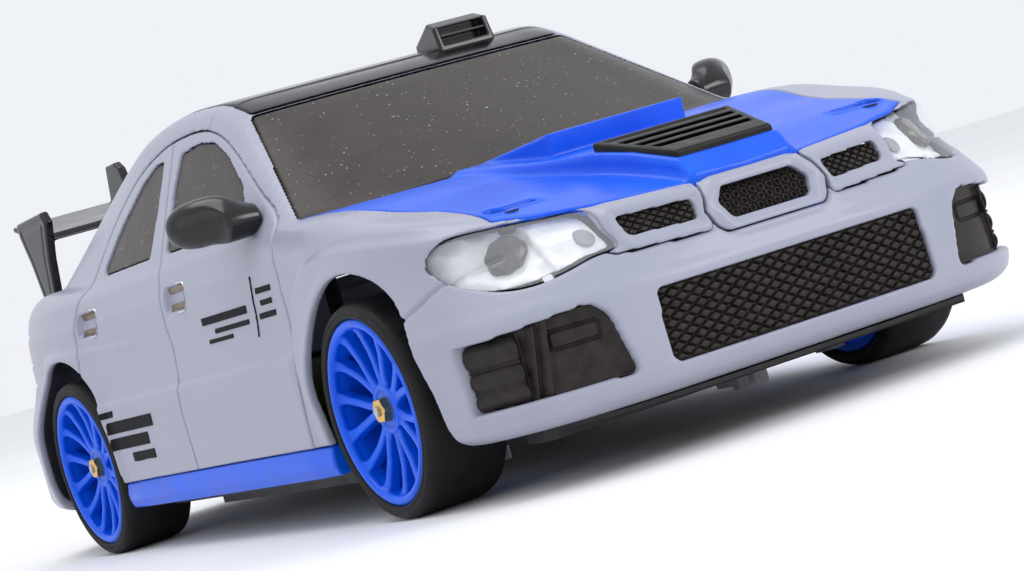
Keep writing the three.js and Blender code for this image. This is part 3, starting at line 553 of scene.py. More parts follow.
def body_shell(g):
    """What is left of the skin once every panel is cut out."""
    body = car_body(g)
    flange = 1.6 * ease(2.2 - nose_region(FOG_PANEL, g, 0.7, FOG_BACK_Y))
    field = np.maximum(body, -(body + SKIN + flange))
    field = smooth_max(field, -arches(g), 0.35)
    skirt_room = common(g.Z - SKIRT_TOP_Z, SKIRT_Y[0] - g.Y, g.Y - SKIRT_Y[1])
    field = np.maximum(field, -skirt_room)
    holes = [side_region(FRONT_WINDOW, g), side_region(REAR_DOOR_WINDOW, g), windscreen_region(g),
             rear_window_region(g), roof_region(g), tail_region(g), nose_region(CENTRE_GRILLE, g, 0.6),
             nose_region(SIDE_GRILLE, g), nose_region(LOWER_GRILLE, g, 0.7),
             headlight_region(g), np.maximum(bonnet_region(g), 25 - g.Z)]
    for hole in holes:
        field = smooth_max(field, SEAM - hole, 0.22)
    return smooth_max(field, SEAM - nose_region(FOG_PANEL, g, 0.7, FOG_BACK_Y), 0.55)


# ---------------------------------------------------------------- meshes from fields
def mirrored(field):
    """Both sides of the car from its left half."""
    return np.concatenate([field[:0:-1], field], 0)


def polygons(field, low, step):
    """Closed surface where the field is zero."""
    field = np.pad(field, 1, constant_values=1.0)
    vdb = openvdb.FloatGrid(background=1.0)
    vdb.copyFromArray(np.ascontiguousarray(np.clip(field, -2, 2), dtype=np.float32))
    points, _, quads = vdb.convertToPolygons(isovalue=0.0, adaptivity=0.0)
    points = (points - 1.0) * step + np.array(low)
    return points * MM, quads


def quad_mesh(name, points, quads):
    """A mesh of quads set straight from arrays."""
    mesh = bpy.data.meshes.new(name)
    mesh.vertices.add(len(points))
    mesh.vertices.foreach_set("co", np.asarray(points, np.float32).ravel())
    mesh.loops.add(quads.size)
    mesh.loops.foreach_set("vertex_index", quads.astype(np.int32).ravel())
    mesh.polygons.add(len(quads))
    mesh.polygons.foreach_set("loop_start", np.arange(0, quads.size, 4, dtype=np.int32))
    mesh.update(calc_edges=True)
    made = bpy.data.objects.new(name, mesh)
    bpy.context.scene.collection.objects.link(made)
    return made


def shade_smooth(mesh):
    """Smooth shading with hard edges only where the surface really turns."""
    mesh.polygons.foreach_set("use_smooth", np.ones(len(mesh.polygons), bool))
    mesh.set_sharp_from_angle(angle=SHARP_ANGLE)


def thinned(made, most):
    """The same piece with no more than so many triangles, shaded smooth."""
    triangles = 2 * len(made.data.polygons)
    if triangles > most:
        change = made.modifiers.new("thin", "DECIMATE")
        change.ratio = most / triangles
        graph = bpy.context.evaluated_depsgraph_get()
        mesh = bpy.data.meshes.new_from_object(made.evaluated_get(graph))
        made.modifiers.clear()
        made.data = mesh
    shade_smooth(made.data)
    return made


def piece_from(name, field, low, step, most):
    return thinned(quad_mesh(name, *polygons(field, low, step)), most)


def finish_piece(made, material, body, nodes):
    """Give a piece its look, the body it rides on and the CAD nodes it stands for."""
    made.data.materials.clear()
    made.data.materials.append(material)
    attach(made, body)
    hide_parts(*nodes)


def half_grid(low, high, step):
    """Grid of the left half, from the middle plane out."""
    step = step * COARSE
    return Grid((0, low[0], low[1]), (high[0], high[1], high[2]), step)


def whole_piece(name, g, field, most):
    """A piece that spans the middle of the car."""
    low = (-(len(g.x) - 1) * g.step, g.low[1], g.low[2])
    return piece_from(name, mirrored(field), low, g.step, most)


def cut_at_middle(made):
    """Trim a piece at the middle plane of the car and close the cut."""
    mesh = bmesh.new()
    mesh.from_mesh(made.data)
    parts = mesh.verts[:] + mesh.edges[:] + mesh.faces[:]
    bmesh.ops.bisect_plane(mesh, geom=parts, plane_co=(0, 0, 0), plane_no=(1, 0, 0), clear_inner=True)
    rim = [edge for edge in mesh.edges if edge.is_boundary]
    for face in bmesh.ops.triangle_fill(mesh, use_beauty=True, edges=rim)["geom"]:
        if isinstance(face, bmesh.types.BMFace) and face.normal.x > 0:
            face.normal_flip()
    mesh.to_mesh(made.data)
    mesh.free()
    shade_smooth(made.data)


def two_sided(name, g, field, most, past=0):
    """A piece of the left side and its mirror image. One that meets its image on the middle plane is
    made so many steps past it and then cut there."""
    if past:
        field = mirrored(field)[len(g.x) - 1 - past:]
    low = (g.low[0] - past * g.step, g.low[1], g.low[2])
    left = piece_from(name + "_left", field, low, g.step, most)
    if past:
        cut_at_middle(left)
    right = bpy.data.objects.new(name + "_right", left.data.copy())
    bpy.context.scene.collection.objects.link(right)
    mirror_mesh(right.data)
    return left, right


def single(name, g, field, most, material, node, slot):
    """A piece across the middle of the shell, for one CAD node."""
    finish_piece(whole_piece(name, g, field, most), material, BODY, [node])


def pair(name, g, field, most, material, node, slot):
    """Two mirrored pieces of the shell, for the CAD nodes of that name on each side."""
    for made, side in zip(two_sided(name, g, field, most), SIDES):
        finish_piece(made, material, BODY, [node + "_" + side if node else WHOLE_SHELL])


def mirror_mesh(mesh):
    """Swap a mesh from the left side to the right."""
    points = np.empty(len(mesh.vertices) * 3, np.float32)
    mesh.vertices.foreach_get("co", points)
    points[0::3] *= -1
    mesh.vertices.foreach_set("co", points)
    mesh.flip_normals()
    mesh.update()


# ---------------------------------------------------------------- materials
def new_material(name):
    made = bpy.data.materials.new(name)
    made.use_nodes = True
    made.node_tree.nodes.clear()
    return made, made.node_tree


def add_node(tree, kind, **values):
    made = tree.nodes.new(kind)
    for key, value in values.items():
        setattr(made, key, value)
    return made


def noise(tree, scale, detail):
    """Noise fixed to the object."""
    place = add_node(tree, "ShaderNodeTexCoord")
    made = add_node(tree, "ShaderNodeTexNoise")
    made.inputs["Scale"].default_value = scale
    made.inputs["Detail"].default_value = detail
    tree.links.new(place.outputs["Object"], made.inputs["Vector"])
    return made


def ramp(tree, source, low, high, first, last):
    """A value carried from one range to another."""
    made = add_node(tree, "ShaderNodeMapRange")
    made.inputs["From Min"].default_value = low
    made.inputs["From Max"].default_value = high
    made.inputs["To Min"].default_value = first
    made.inputs["To Max"].default_value = last
    tree.links.new(source, made.inputs["Value"])
    return made.outputs["Result"]


def mixed(tree, factor, first, last):
    """A mix of two colours, each given as three numbers or as a socket."""
    made = add_node(tree, "ShaderNodeMix", data_type="RGBA")
    tree.links.new(factor, made.inputs["Factor"])
    for socket, value in ((made.inputs["A"], first), (made.inputs["B"], last)):
        if isinstance(value, tuple):
            socket.default_value = (*value, 1)
        else:
            tree.links.new(value, socket)
    return made.outputs["Result"]


DUST = (0.5, 0.48, 0.45)
GRAIN_DEPTH = 0.00005
LENS_ALPHA = 0.1


def plastic(name, dark, light, rough, spread=0.06, scale=260, bump=0.0, grain=2600, coat=0.0, metal=0.0,
            specks=None, shine=0.3):
    """Moulded, painted or plated surface: cloudy tint, uneven gloss, fine grain, and dust if asked."""
    made, tree = new_material(name)
    shader = add_node(tree, "ShaderNodeBsdfPrincipled")
    out = add_node(tree, "ShaderNodeOutputMaterial")
    cloud = noise(tree, scale, 4.0)
    factor = ramp(tree, cloud.outputs["Fac"], 0.32, 0.68, 0, 1)
    tint = mixed(tree, factor, dark, light)
    if specks:
        dust = noise(tree, specks, 0.0)
        share = ramp(tree, dust.outputs["Fac"], 0.80, 0.83, 0, 0.7)
        tint = mixed(tree, share, tint, DUST)
    tree.links.new(tint, shader.inputs["Base Color"])
    tree.links.new(ramp(tree, cloud.outputs["Fac"], 0.3, 0.7, rough - spread, rough + spread),
                   shader.inputs["Roughness"])
    shader.inputs["Coat Weight"].default_value = coat
    shader.inputs["Specular IOR Level"].default_value = shine
    shader.inputs["Coat Roughness"].default_value = 0.06
    shader.inputs["Metallic"].default_value = metal
    if bump:
        fine = noise(tree, grain, 3.0)
        bumps = add_node(tree, "ShaderNodeBump")
        bumps.inputs["Strength"].default_value = bump
        bumps.inputs["Distance"].default_value = GRAIN_DEPTH
        tree.links.new(fine.outputs["Fac"], bumps.inputs["Height"])
        tree.links.new(bumps.outputs["Normal"], shader.inputs["Normal"])
    tree.links.new(shader.outputs["BSDF"], out.inputs["Surface"])
    return made


def clear_plastic(name):
    """Glossy plastic that lets most of the light through."""
    made = plastic(name, (0.90, 0.92, 0.95), (0.98, 0.98, 1.0), 0.07, 0.03, 500, shine=0.9)
    shader = next(n for n in made.node_tree.nodes if n.type == "BSDF_PRINCIPLED")
    shader.inputs["Alpha"].default_value = LENS_ALPHA
    return made


GREY = plastic("shell_grey", (0.325, 0.337, 0.415), (0.350, 0.360, 0.440),
               0.36, 0.05, 90, 0.10, 3200, 0.12)
BLUE = plastic("shell_blue", (0.0, 0.088, 0.72), (0.0, 0.108, 0.80),
               0.36, 0.05, 120, 0.06, 3000, 0.08, shine=0.28)
ROOF_BLACK = plastic("gloss_black", (0.004, 0.004, 0.005), (0.008, 0.008, 0.009),
                     0.18, 0.04, 200, 0.03, 3000, 0.0, shine=0.45)
BLACK = plastic("satin_black", (0.006, 0.0055, 0.0055), (0.013, 0.012, 0.011),
                0.4, 0.08, 420, 0.25, 3600, shine=0.22)
PANEL_BLACK = plastic("grille_black", (0.014, 0.011, 0.010), (0.030, 0.024, 0.021),
                      0.40, 0.08, 600, 0.3, 4200, shine=0.22)
TINT = plastic("tinted_window", (0.028, 0.021, 0.017), (0.040, 0.031, 0.026),
               0.32, 0.05, 180, 0.05, 4000, 0.0, specks=2700, shine=0.22)
RUBBER = plastic("tyre_rubber", (0.007, 0.007, 0.0075), (0.016, 0.0155, 0.016),
                 0.6, 0.1, 330, 0.5, 2600, shine=0.2)
RED = plastic("tail_red", (0.42, 0.006, 0.008), (0.55, 0.014, 0.012), 0.16, 0.04, 300, 0.05, 3000, 0.5)
BRONZE = plastic("handle_bronze", (0.10, 0.066, 0.036), (0.17, 0.115, 0.062),
                 0.3, 0.06, 700, 0.1, 4000, 0.3)
# Near-white lamp bowl: the light colour is painted reflection, standing in for the glare off the
# reflector.
REFLECTOR_GLARE_WHITE = plastic("lamp_white", (0.72, 0.73, 0.76), (0.86, 0.87, 0.89),
                          0.22, 0.06, 700, 0.1, 3000, 0.4)
SILVER = plastic("reflector_silver", (0.60, 0.62, 0.66), (0.75, 0.77, 0.80),
                 0.2, 0.06, 600, 0.1, 3000, 0.0, 0.9)
MARK_BLACK = plastic("printed_black", (0.006, 0.006, 0.007), (0.015, 0.014, 0.017),
                     0.5, 0.08, 700, 0.1, 3600, shine=0.05)
LAMP_BLACK = plastic("lamp_black", (0.003, 0.003, 0.003), (0.05, 0.045, 0.03),
                     0.2, 0.08, 900, 0.3, 2600, shine=0.5)
STEEL = plastic("steel", (0.42, 0.42, 0.43), (0.58, 0.58, 0.59), 0.28, 0.08, 700, 0.2, 4000, 0.0, 1.0)
BRASS = plastic("brass", (0.62, 0.39, 0.11), (0.78, 0.52, 0.18), 0.26, 0.07, 700, 0.2, 4000, 0.0, 1.0)
NYLON = plastic("white_nylon", (0.62, 0.61, 0.57), (0.72, 0.71, 0.67), 0.45, 0.06, 300, 0.2, 3000)
GREY_PLASTIC = plastic("grey_plastic", (0.22, 0.225, 0.25), (0.30, 0.30, 0.33),
                       0.4, 0.08, 400, 0.25, 3600)
CELL = plastic("cell_wrap", (0.30, 0.33, 0.02), (0.40, 0.42, 0.03), 0.3, 0.08, 300, 0.1, 3000, 0.3)
BOARD = plastic("board_green", (0.006, 0.10, 0.03), (0.01, 0.16, 0.05), 0.35, 0.08, 900, 0.2, 3600, 0.3)
CHASSIS = plastic("chassis_black", (0.014, 0.013, 0.014), (0.030, 0.028, 0.029),
                  0.5, 0.08, 400, 0.3, 3200)
LENS = clear_plastic("clear_lens")

SLOT_LOOKS = {
    "grey_shell": GREY, "blue_shell": BLUE, "black_gloss": ROOF_BLACK, "black_plastic": CHASSIS,
    "tinted_panel": TINT, "clear_lens": LENS, "reflector": SILVER, "red_lens": RED,
    "tyre_rubber": RUBBER, "steel": STEEL, "brass": BRASS, "white_nylon": NYLON,
    "grey_plastic": GREY_PLASTIC, "battery_cell": CELL, "circuit_board": BOARD,
}


# ---------------------------------------------------------------- pieces of the body
BODY_STEP = 0.3
SHELL_CUT_Y = -4.0
DOOR_GAP = 0.1
SURROUND_GAP = 0.16
SURROUND_BACK_Y = -80


def finish_shell(*pieces):
    for made in pieces:
        finish_piece(made, GREY, BODY, [WHOLE_SHELL])


def shell_halves(name, g, field):
    """Both sides of a part of the moulding, which meet exactly on the middle plane."""
    finish_shell(*two_sided(name, g, field, MOST_TRIANGLES, past=3))


def build_shell():
    """The grey moulding ahead of and behind the doors, and the doors, parted by fine gaps."""
    g = half_grid((-94.5, 6.0), (42.2, SHELL_CUT_Y + 0.6, 59.5), 0.24)
    rest = smooth_max(body_shell(g), DOOR_GAP - doors_region(g), 0.2)
    for outline in (CENTRE_SURROUND, SIDE_SURROUND):
        rest = smooth_max(rest, SURROUND_GAP - nose_region(outline, g, 0.8, SURROUND_BACK_Y), 0.4)
    shell_halves("body_front", g, np.maximum(rest, g.Y - SHELL_CUT_Y))
    g = half_grid((SHELL_CUT_Y - 0.6, 6.0), (42.2, 94.5, 59.5), BODY_STEP)
    rest = smooth_max(body_shell(g), DOOR_GAP - doors_region(g), 0.2)
    shell_halves("body_rear", g, np.maximum(rest, SHELL_CUT_Y - g.Y))
    g = Grid((22, -38, 6.5), (40.5, 46, 56), 0.24 * COARSE)
    doors = smooth_max(body_shell(g), doors_region(g) + DOOR_GAP, 0.2)
    behind = middle_seam(g)
    for label, field in (("front", smooth_max(doors, behind + DOOR_GAP, 0.2)),
                         ("rear", smooth_max(doors, DOOR_GAP - behind, 0.2))):
        finish_shell(*two_sided("door_" + label, g, field, 120000))


def build_surrounds():
    """Raised frames round the upper grilles, set in the nose by fine gaps."""
    g = half_grid((-93.5, 21.5), (23, SURROUND_BACK_Y, 31.4), 0.13)
    shell = body_shell(g)
    centre = nose_region(CENTRE_SURROUND, g, 0.8, SURROUND_BACK_Y) + DOOR_GAP
    finish_shell(whole_piece("centre_surround", g, smooth_max(shell, centre, 0.25), 90000))
    side = nose_region(SIDE_SURROUND, g, 0.8, SURROUND_BACK_Y) + DOOR_GAP
    finish_shell(*two_sided("side_surround", g, smooth_max(shell, side, 0.25), 60000))


KEYHOLE = (26.6, -76.4)


def vent_region(g):
    return np.maximum(plan_view(g, whole(VENT_HALF_PLAN)), VENT_FROM_Z - g.Z)


def build_bonnet():
    """Blue panel with the bulge and scoop, cut out for the vent and with a keyhole by each lamp."""
    g = half_grid((-89.5, 24), (34.5, -33, 40), 0.25)
    field = skin_of(bonnet_skin(g))
    field = smooth_max(field, bonnet_region(g) + SEAM, 0.25)
    field = smooth_max(field, SEAM - headlight_region(g), 0.2)
    field = smooth_max(field, -0.5 - vent_region(g), 0.2)
    keyhole = np.hypot(g.X - KEYHOLE[0], g.Y - KEYHOLE[1]) - 1.35
    slot = np.maximum(abs(g.Y - KEYHOLE[1]) - 0.75, abs(g.X - KEYHOLE[0] + 2.6) - 2.8)
    hole = smooth_min(keyhole, slot, 0.4)
    field = smooth_max(field - 0.2 * ease(1 - abs(hole - 0.3) / 0.7), -hole, 0.25)
    field = np.maximum(field, 20 - g.Z)
    single("bonnet_moulding", g, field, 120000, BLUE, "bonnet_panel", "blue_shell")


def build_windows():
    g = half_grid((-24, 38), (38, 38, 54.5), 0.2)
    sunk = skin_of(car_body(g) + 0.3)
    for label, outline, node in (("front_window", FRONT_WINDOW, "front_door_window"),
                                 ("rear_window_side", REAR_DOOR_WINDOW, "rear_door_window")):
        field = smooth_max(sunk, side_region(outline, g) + SEAM, 0.2)
        pair(label, g, field, 40000, TINT, node, "tinted_panel")


def build_screens():
    g = half_grid((-48, 36), (34, -8, 55), 0.22)
    field = smooth_max(skin_of(car_body(g) + 0.2), windscreen_region(g) + SEAM, 0.2)
    single("windscreen_moulding", g, field, 60000, TINT, "windscreen", "tinted_panel")
    g = half_grid((30, 41), (28.5, 78, 54), 0.25)
    field = smooth_max(skin_of(car_body(g) + 0.2), rear_window_region(g) + SEAM, 0.2)
    single("rear_screen_moulding", g, field, 40000, TINT, "rear_window", "tinted_panel")


def build_roof():
    g = half_grid((-18, 52), (26, 40, 61), 0.22)
    field = smooth_max(skin_of(car_body(g)), roof_region(g) + SEAM, 0.3)
    single("roof_moulding", g, field, 60000, ROOF_BLACK, "roof_panel", "black_gloss")


ROOF_VENT_SIDE = [[-8.8, 55.6], [-8.0, 59.4], [-5.5, 60.3], [0.8, 58.2], [0.8, 55.6]]
ROOF_VENT_X = 12
ROOF_VENT_MOUTH_Z = 58.0


def build_roof_vent():
    """Wedge on the left of the roof, open to the front with one slat across."""
    g = Grid((6, -12, 55), (18, 3, 61.5), 0.12 * COARSE)
    side = side_view(g, ROOF_VENT_SIDE)
    out, up = abs(g.X - ROOF_VENT_X), abs(g.Z - ROOF_VENT_MOUTH_Z)
    wedge = smooth_max(side, out - 4.4 + 0.12 * (g.Y + 8).clip(-2, 9), 0.5)
    mouth = common(out - 3.5, up - 1.25, g.Y + 6.2)
    slat = common(wedge, up - 0.22, g.Y + 6.0, -8.0 - g.Y)
    field = np.minimum(smooth_max(wedge, -mouth, 0.25), slat)
    made = piece_from("roof_vent_moulding", field, g.low, g.step, 30000)
    finish_piece(made, ROOF_BLACK, BODY, ["roof_vent"])


def prism_x(g, points, low, high, round_off):
    """Side view outline pulled between two distances from the middle, with soft edges."""
    flat = side_view(g, points, 0.3)
    middle = (low + high) / 2
    return smooth_max(flat, abs(g.X - middle) - (high - low) / 2, round_off)


WING_END = [
    [69.4, 51.6], [70.6, 53.4], [83.2, 53.2], [83.4, 51.0], [81.6, 46.0], [80.2, 38.9], [75.0, 39.0],
    [72.6, 46],
]
WING_PLANK = [[70.6, 48.6], [71.3, 49.8], [78, 51.0], [87.9, 53.1], [88.2, 52.4], [79, 49.6]]
WING_STRUT = [[71, 36], [72.6, 50.2], [80.2, 50.6], [81.4, 36]]
WING_FIN = [[77, 50.4], [79.6, 57.6], [81.2, 58.7], [85.4, 58.7], [87.6, 52.4]]


def build_wing():
    """Wing plank on two inner struts, with two fins on top and framed end plates."""
    g = half_grid((66, 37.0), (29.4, 90.5, 60), 0.2)
    plank = smooth_max(side_view(g, WING_PLANK, 0.3), g.X - 26.8, 0.3)
    frame_line = on_yz(ease(1 - abs(ring_distance(WING_END, g.y, g.z) + 1.6) / 0.5))
    plate = prism_x(g, WING_END, 26.2, 27.7, 0.5) + 0.28 * hump(g.X - 28, 0.5) * frame_line
    strut = prism_x(g, WING_STRUT, 14, 15.6, 0.4)
    fin = prism_x(g, WING_FIN, 8.2, 9.6, 0.4)
    field = smooth_min(smooth_min(plank, strut, 0.5), smooth_min(plate, fin, 0.4), 0.4)
    field = np.maximum(field, SEAM - car_body(g))
    single("wing_moulding", g, field, 90000, ROOF_BLACK, "rear_wing", "black_gloss")


def build_bonnet_vent():
    """Black vent with a lip at the front and four slanted slats."""
    g = half_grid((-87, 30), (11.5, -71, 38), 0.12)
    side = side_view(g, VENT_SIDE, 0.2)
    plan = plan_view(g, whole(VENT_HALF_PLAN))
    box = smooth_max(side, plan, 0.5)
    well = common(plan + 0.9, abs(g.Y + 78.0) - 4.9, 0)
    top = on_yz(line_distance(np.array(VENT_SIDE[1:3]), g.y, g.z))
    slats = np.full(box.shape, FAR, np.float32)
    for i in range(4):
        back, up = g.Y + 81.9 - 2.55 * i, g.Z - 33.65 - 0.745 * i
        along = back * 0.94 - up * 0.34
        across = back * 0.34 + up * 0.94
        slats = np.minimum(slats, np.maximum(abs(along) - 0.95, abs(across + 0.5) - 0.35))
    field = smooth_max(box, -np.maximum(well, top - 1.7), 0.2)
    field = np.minimum(field, np.maximum(smooth_max(slats, plan + 0.4, 0.2), box))
    single("bonnet_vent_moulding", g, field, 70000, BLACK, "bonnet_vent", "black_plastic")


# ---------------------------------------------------------------- grilles and lamps
def diamonds(a, b, wide, high, groove=0.2):
    """Height of raised pillows in a diamond net."""
    u, v = a / wide + b / high, a / wide - b / high
    from_u, from_v = (0.5 - abs(w - np.round(w)) for w in (u, v))
    return np.minimum(ease(from_u / groove), ease(from_v / groove))


def rings(a, b, pitch):
    """Height of raised rings packed in a honeycomb."""
    row = np.round(b / (pitch * HONEYCOMB))
    best = np.full(np.broadcast(a, b).shape, FAR)
    for step in (-1, 0, 1):
        r = row + step
        offset = np.where(np.mod(r, 2) == 0, 0.0, 0.5) * pitch
        near = np.round((a - offset) / pitch) * pitch + offset
        best = np.minimum(best, np.hypot(a - near, b - r * pitch * HONEYCOMB))
    return hump(best - pitch * 0.33, pitch * 0.12)


def grille(name, node, outline, g, pattern, relief, sink, paired, most):
    """Patterned panel set so far under the skin, inside an outline of the front view."""
    outer = car_body_plain(g)
    field = skin_of(outer + sink - on_xz(relief * pattern), 1.8)
    field = smooth_max(field, nose_region(outline, g, 0.5) + 0.03, 0.1)
    place = pair if paired else single
    place(name, g, field, most, PANEL_BLACK, node, "black_plastic")


def build_grilles():
    g = half_grid((-93.4, 9.2), (19.2, -87, 19.4), 0.12)
    a, b = g.front
    inside = ease(-ring_distance(LOWER_GRILLE, g.ax, g.z) / 0.5)
    net = diamonds(a, b, 2.15, 1.3) * inside + 0.5 * (1 - inside)
    grille("lower_grille_mesh", "lower_grille", LOWER_GRILLE, g, net, 0.6, 0.75, False, 185000)
    g = half_grid((-93, 22.6), (7.2, -86.5, 28.2), 0.1)
    a, b = g.front
    net = rings(a, b, 1.15)
    grille("centre_grille_mesh", "centre_grille", CENTRE_GRILLE, g, net, 0.5, 0.8, False, 90000)
    g = Grid((8.2, -93, 23.4), (19.2, -85, 28.4), 0.1 * COARSE)
    a, b = g.front
    net = diamonds(a, b, 1.35, 0.95)
    grille("side_grille_mesh", "side_grille", SIDE_GRILLE, g, net, 0.45, 0.7, True, 60000)


def build_fog_panels():
    """Black corner panel with a double rib, a sunken rectangle and fat rounded louvres."""
    g = Grid((21.5, -93, 9.4), (39.5, -77.4, 19.9), 0.13 * COARSE)
    a, b = g.front
    height = -0.9 - 0.9 * ease((a - 30) / 3)
    square = box_distance(a - 27.6, b - 16.3, 2.2, 0.55) - 0.45
    height = height - 0.4 * hump(square, 0.2) * (a < 30.6)
    for middle in (30.9, 31.9):
        height = height + 0.75 * hump(a - middle + 0.12 * (b - 14), 0.26)
    for lift, wide in ((16.6, 1.6), (13.9, 1.4), (11.6, 1.2)):
        louvre = abs(b - lift) / wide
        height = height + 1.15 * np.sqrt(np.clip(1 - louvre**2, 0, 1)) * ease((a - 32.3) / 0.8)
    edge = ease(1 + ring_distance(FOG_PANEL, g.ax, g.z) / 0.55)
    height = height + 0.5 * edge * (a < 31)
    region = nose_region(FOG_PANEL, g, 0.6, FOG_BACK_Y)
    field = smooth_max(skin_of(car_body_plain(g) - on_xz(height), 1.2), region + SEAM, 0.15)
    pair("fog_panel_moulding", g, field, 60000, PANEL_BLACK, "fog_panel", "black_plastic")


PROJECTOR = (28.4, -79.7, 26.4)
LED = (21.6, 26.1)


def build_headlights():
    """Clear lens with a raised rim over a faceted bowl, whose near-white colour is painted reflection
    standing in for the glare of the reflector, a dark projector and a grey lamp.
    """
    g = Grid((18.5, -93, 21.5), (37, -70, 31.6), 0.15 * COARSE)
    outer = car_body_plain(g)
    outline = spline(HEADLIGHT_LINE, True, 4)
    edge = ring_distance(outline, g.ax, g.z)
    region = nose_region(outline, g, 0.0)
    rim = on_xz(0.3 * hump(edge + 0.55, 0.4))
    lens = smooth_max(skin_of(outer - 0.1 - rim, 0.9), region + 0.1, 0.25)
    pair("lamp_lens", g, lens, 60000, LENS, "headlight_lens", "clear_lens")
    a, b = g.front
    u, v = (a - 29.4) * 0.8, b - PROJECTOR[2]
    away, turn = np.hypot(u, v), np.arctan2(v, u)
    facets = 0.25 * abs(np.sin(turn * 5)) * ease((away - 2.4) / 1.2)
    step = 0.7 * ease((26.2 - a) / 0.3)
    bowl = skin_of(outer + on_xz(1.9 + 0.9 * hump(away, 2.6) + facets - step), 0.9)
    bowl = np.maximum(bowl, region + 0.3)
    # The bowl's near-white colour is painted reflection, not the reflector's own colour.
    pair("lamp_bowl", g, bowl, 60000, REFLECTOR_GLARE_WHITE, "headlight_bowl", "reflector")
    dx, dy, dz = (axis - middle for axis, middle in zip((g.X, g.Y, g.Z), PROJECTOR))
    ball = np.sqrt(dx**2 + dy**2 + dz**2) - 2.5
    cuts = 0.16 * np.sin(3.1 * g.X + 1.3 * g.Z) * np.sin(2.7 * g.Z - 1.9 * g.Y)
    ball = np.maximum(ball + cuts, outer + 1.15)
    pair("lamp_projector", g, ball, 30000, LAMP_BLACK, "headlight_bowl", "black_plastic")
    stud = np.hypot(g.X - LED[0], g.Z - LED[1]) - 1.05
    stud = smooth_max(stud, abs(outer + 1.35) - 0.35, 0.2)
    pair("lamp_stud", g, stud, 12000, GREY_PLASTIC, "headlight_bowl", "grey_plastic")


def build_tail_lights():
    g = Grid((20.5, 70, 29.4), (39, 94, 36.6), 0.18 * COARSE)
    field = smooth_max(skin_of(car_body_plain(g) + 0.05), tail_region(g) + SEAM, 0.25)
    pair("tail_lens", g, field, 30000, RED, "tail_light", "red_lens")


MIRROR = (39.2, -23.0, 41.5)
MIRROR_TURN = 0.85


def build_mirrors():
    """Bean-shaped mirror heads with a flat sunken face, each on a short round foot."""
    g = Grid((32.5, -32, 36.5), (46, -17, 46.2), 0.16 * COARSE)
    dx, dy, dz = (axis - middle for axis, middle in zip((g.X, g.Y, g.Z), MIRROR))
    u = dx * math.cos(MIRROR_TURN) + dy * math.sin(MIRROR_TURN)
    v = -dx * math.sin(MIRROR_TURN) + dy * math.cos(MIRROR_TURN)
    head = (np.sqrt((abs(u) / 5.3) ** 2.4 + (abs(v) / 2.9) ** 2.4 + (abs(dz) / 3.1) ** 2.4) - 1) * 2.9
    flat = smooth_max(head, v - 1.6, 0.5)
    face = smooth_max(np.sqrt((u / 4.4) ** 2 + (dz / 2.3) ** 2) * 2.3 - 2.3, abs(v - 1.6) - 0.35, 0.2)
    foot = np.hypot(g.Y + 27.0, (g.Z - 40.0) * 1.1) - 2.1
    foot = smooth_max(foot, abs(g.X - 36.2) - 2.4, 0.5)
    field = smooth_min(flat, foot, 2.2)
    field = smooth_max(field, -face, 0.25)
    field = np.maximum(field, SEAM - car_body_plain(g))
    pair("mirror_moulding", g, field, 30000, ROOF_BLACK, "door_mirror", "black_gloss")


SKIRT_SECTION = [[35.9, 6.5], [38.2, 6.4], [39.1, 8.1], [38.4, 10.3], [36.2, 10.3]]


def build_skirts():
    """Blue sills between the wheels, tapered at both ends and with one groove."""
    g = Grid((34.5, -41, 5.6), (40.5, 39, 11), 0.22 * COARSE)
    flat = front_view(g, SKIRT_SECTION, 0.3)
    taper = 0.5 * ease((g.Y - 30) / 8) + 0.5 * ease((-32 - g.Y) / 8)
    field = smooth_max(flat + taper * ease((g.X - 37.5) / 1.5), abs(g.Y + 1.0) - 38.3, 0.4)
    groove = 0.18 * hump(g.Z - 8.2, 0.25) * ease((g.X - 38) / 0.6)
    pair("skirt_moulding", g, field + groove, 40000, BLUE, "side_skirt", "blue_shell")


def build_handles():
    """Bronze bars above and below each pocket, and a silver C along the pocket's front edge, which is a
    painted highlight standing in for the light caught on that edge.
    """
    for label, (hy, hz) in zip(("front", "rear"), HANDLES):
        g = Grid((34.5, hy - 5, hz - 3), (41, hy + 5, hz + 3), 0.12 * COARSE)
        outer = car_body_plain(g)
        low, high = (box_distance(g.Y - hy - 0.4, g.Z - hz - lift, 2.7, 0.1) - 0.35
                     for lift in (-1.15, 1.15))
        bars = np.minimum(low, high)
        bars = smooth_max(bars, abs(outer + 0.05) - 0.3, 0.15)
        pair("handle_bars_" + label, g, bars, 12000, BRONZE, "", "brass")
        # Silver C on the front edge of the pocket: a painted highlight where light catches the edge.
        ring = box_distance(g.Y - hy, g.Z - hz, 2.9, 0.9) - 0.95
        ring = smooth_max(abs(ring) - 0.2, abs(outer) - 0.22, 0.1)
        ring = np.maximum(ring, g.Y - hy + 1.2)
        pair("handle_rim_" + label, g, ring, 12000, SILVER, "", "reflector")


def bar_marks(g, marks):
    """Slanted bars in side view, each as middle, half length and half height."""
    best = np.full((len(g.y), len(g.z)), FAR, np.float32)
    y, z = g.side
    for my, mz, half_y, half_z in marks:
        near = np.maximum(abs(y - my + 0.12 * (z - mz)) - half_y, abs(z - mz) - half_z)
        best = np.minimum(best, near)
    return on_yz(best)


DOOR_MARKS = [
    (-25.6, 29.4, 0.22, 3.9), (-29.6, 31.2, 2.6, 0.4), (-29.8, 29.6, 2.0, 0.4), (-29.4, 28.0, 2.8, 0.4),
    (-14.5, 29.4, 8.2, 0.55), (-16.5, 27.8, 6.2, 0.35), (-12.0, 26.6, 4.4, 0.3),
]
REAR_MARKS = [
    (26.5, 18.6, 8.6, 0.9), (28.0, 16.2, 7.0, 0.9), (24.6, 13.9, 4.4, 0.7), (34.8, 20.6, 2.2, 0.5),
]


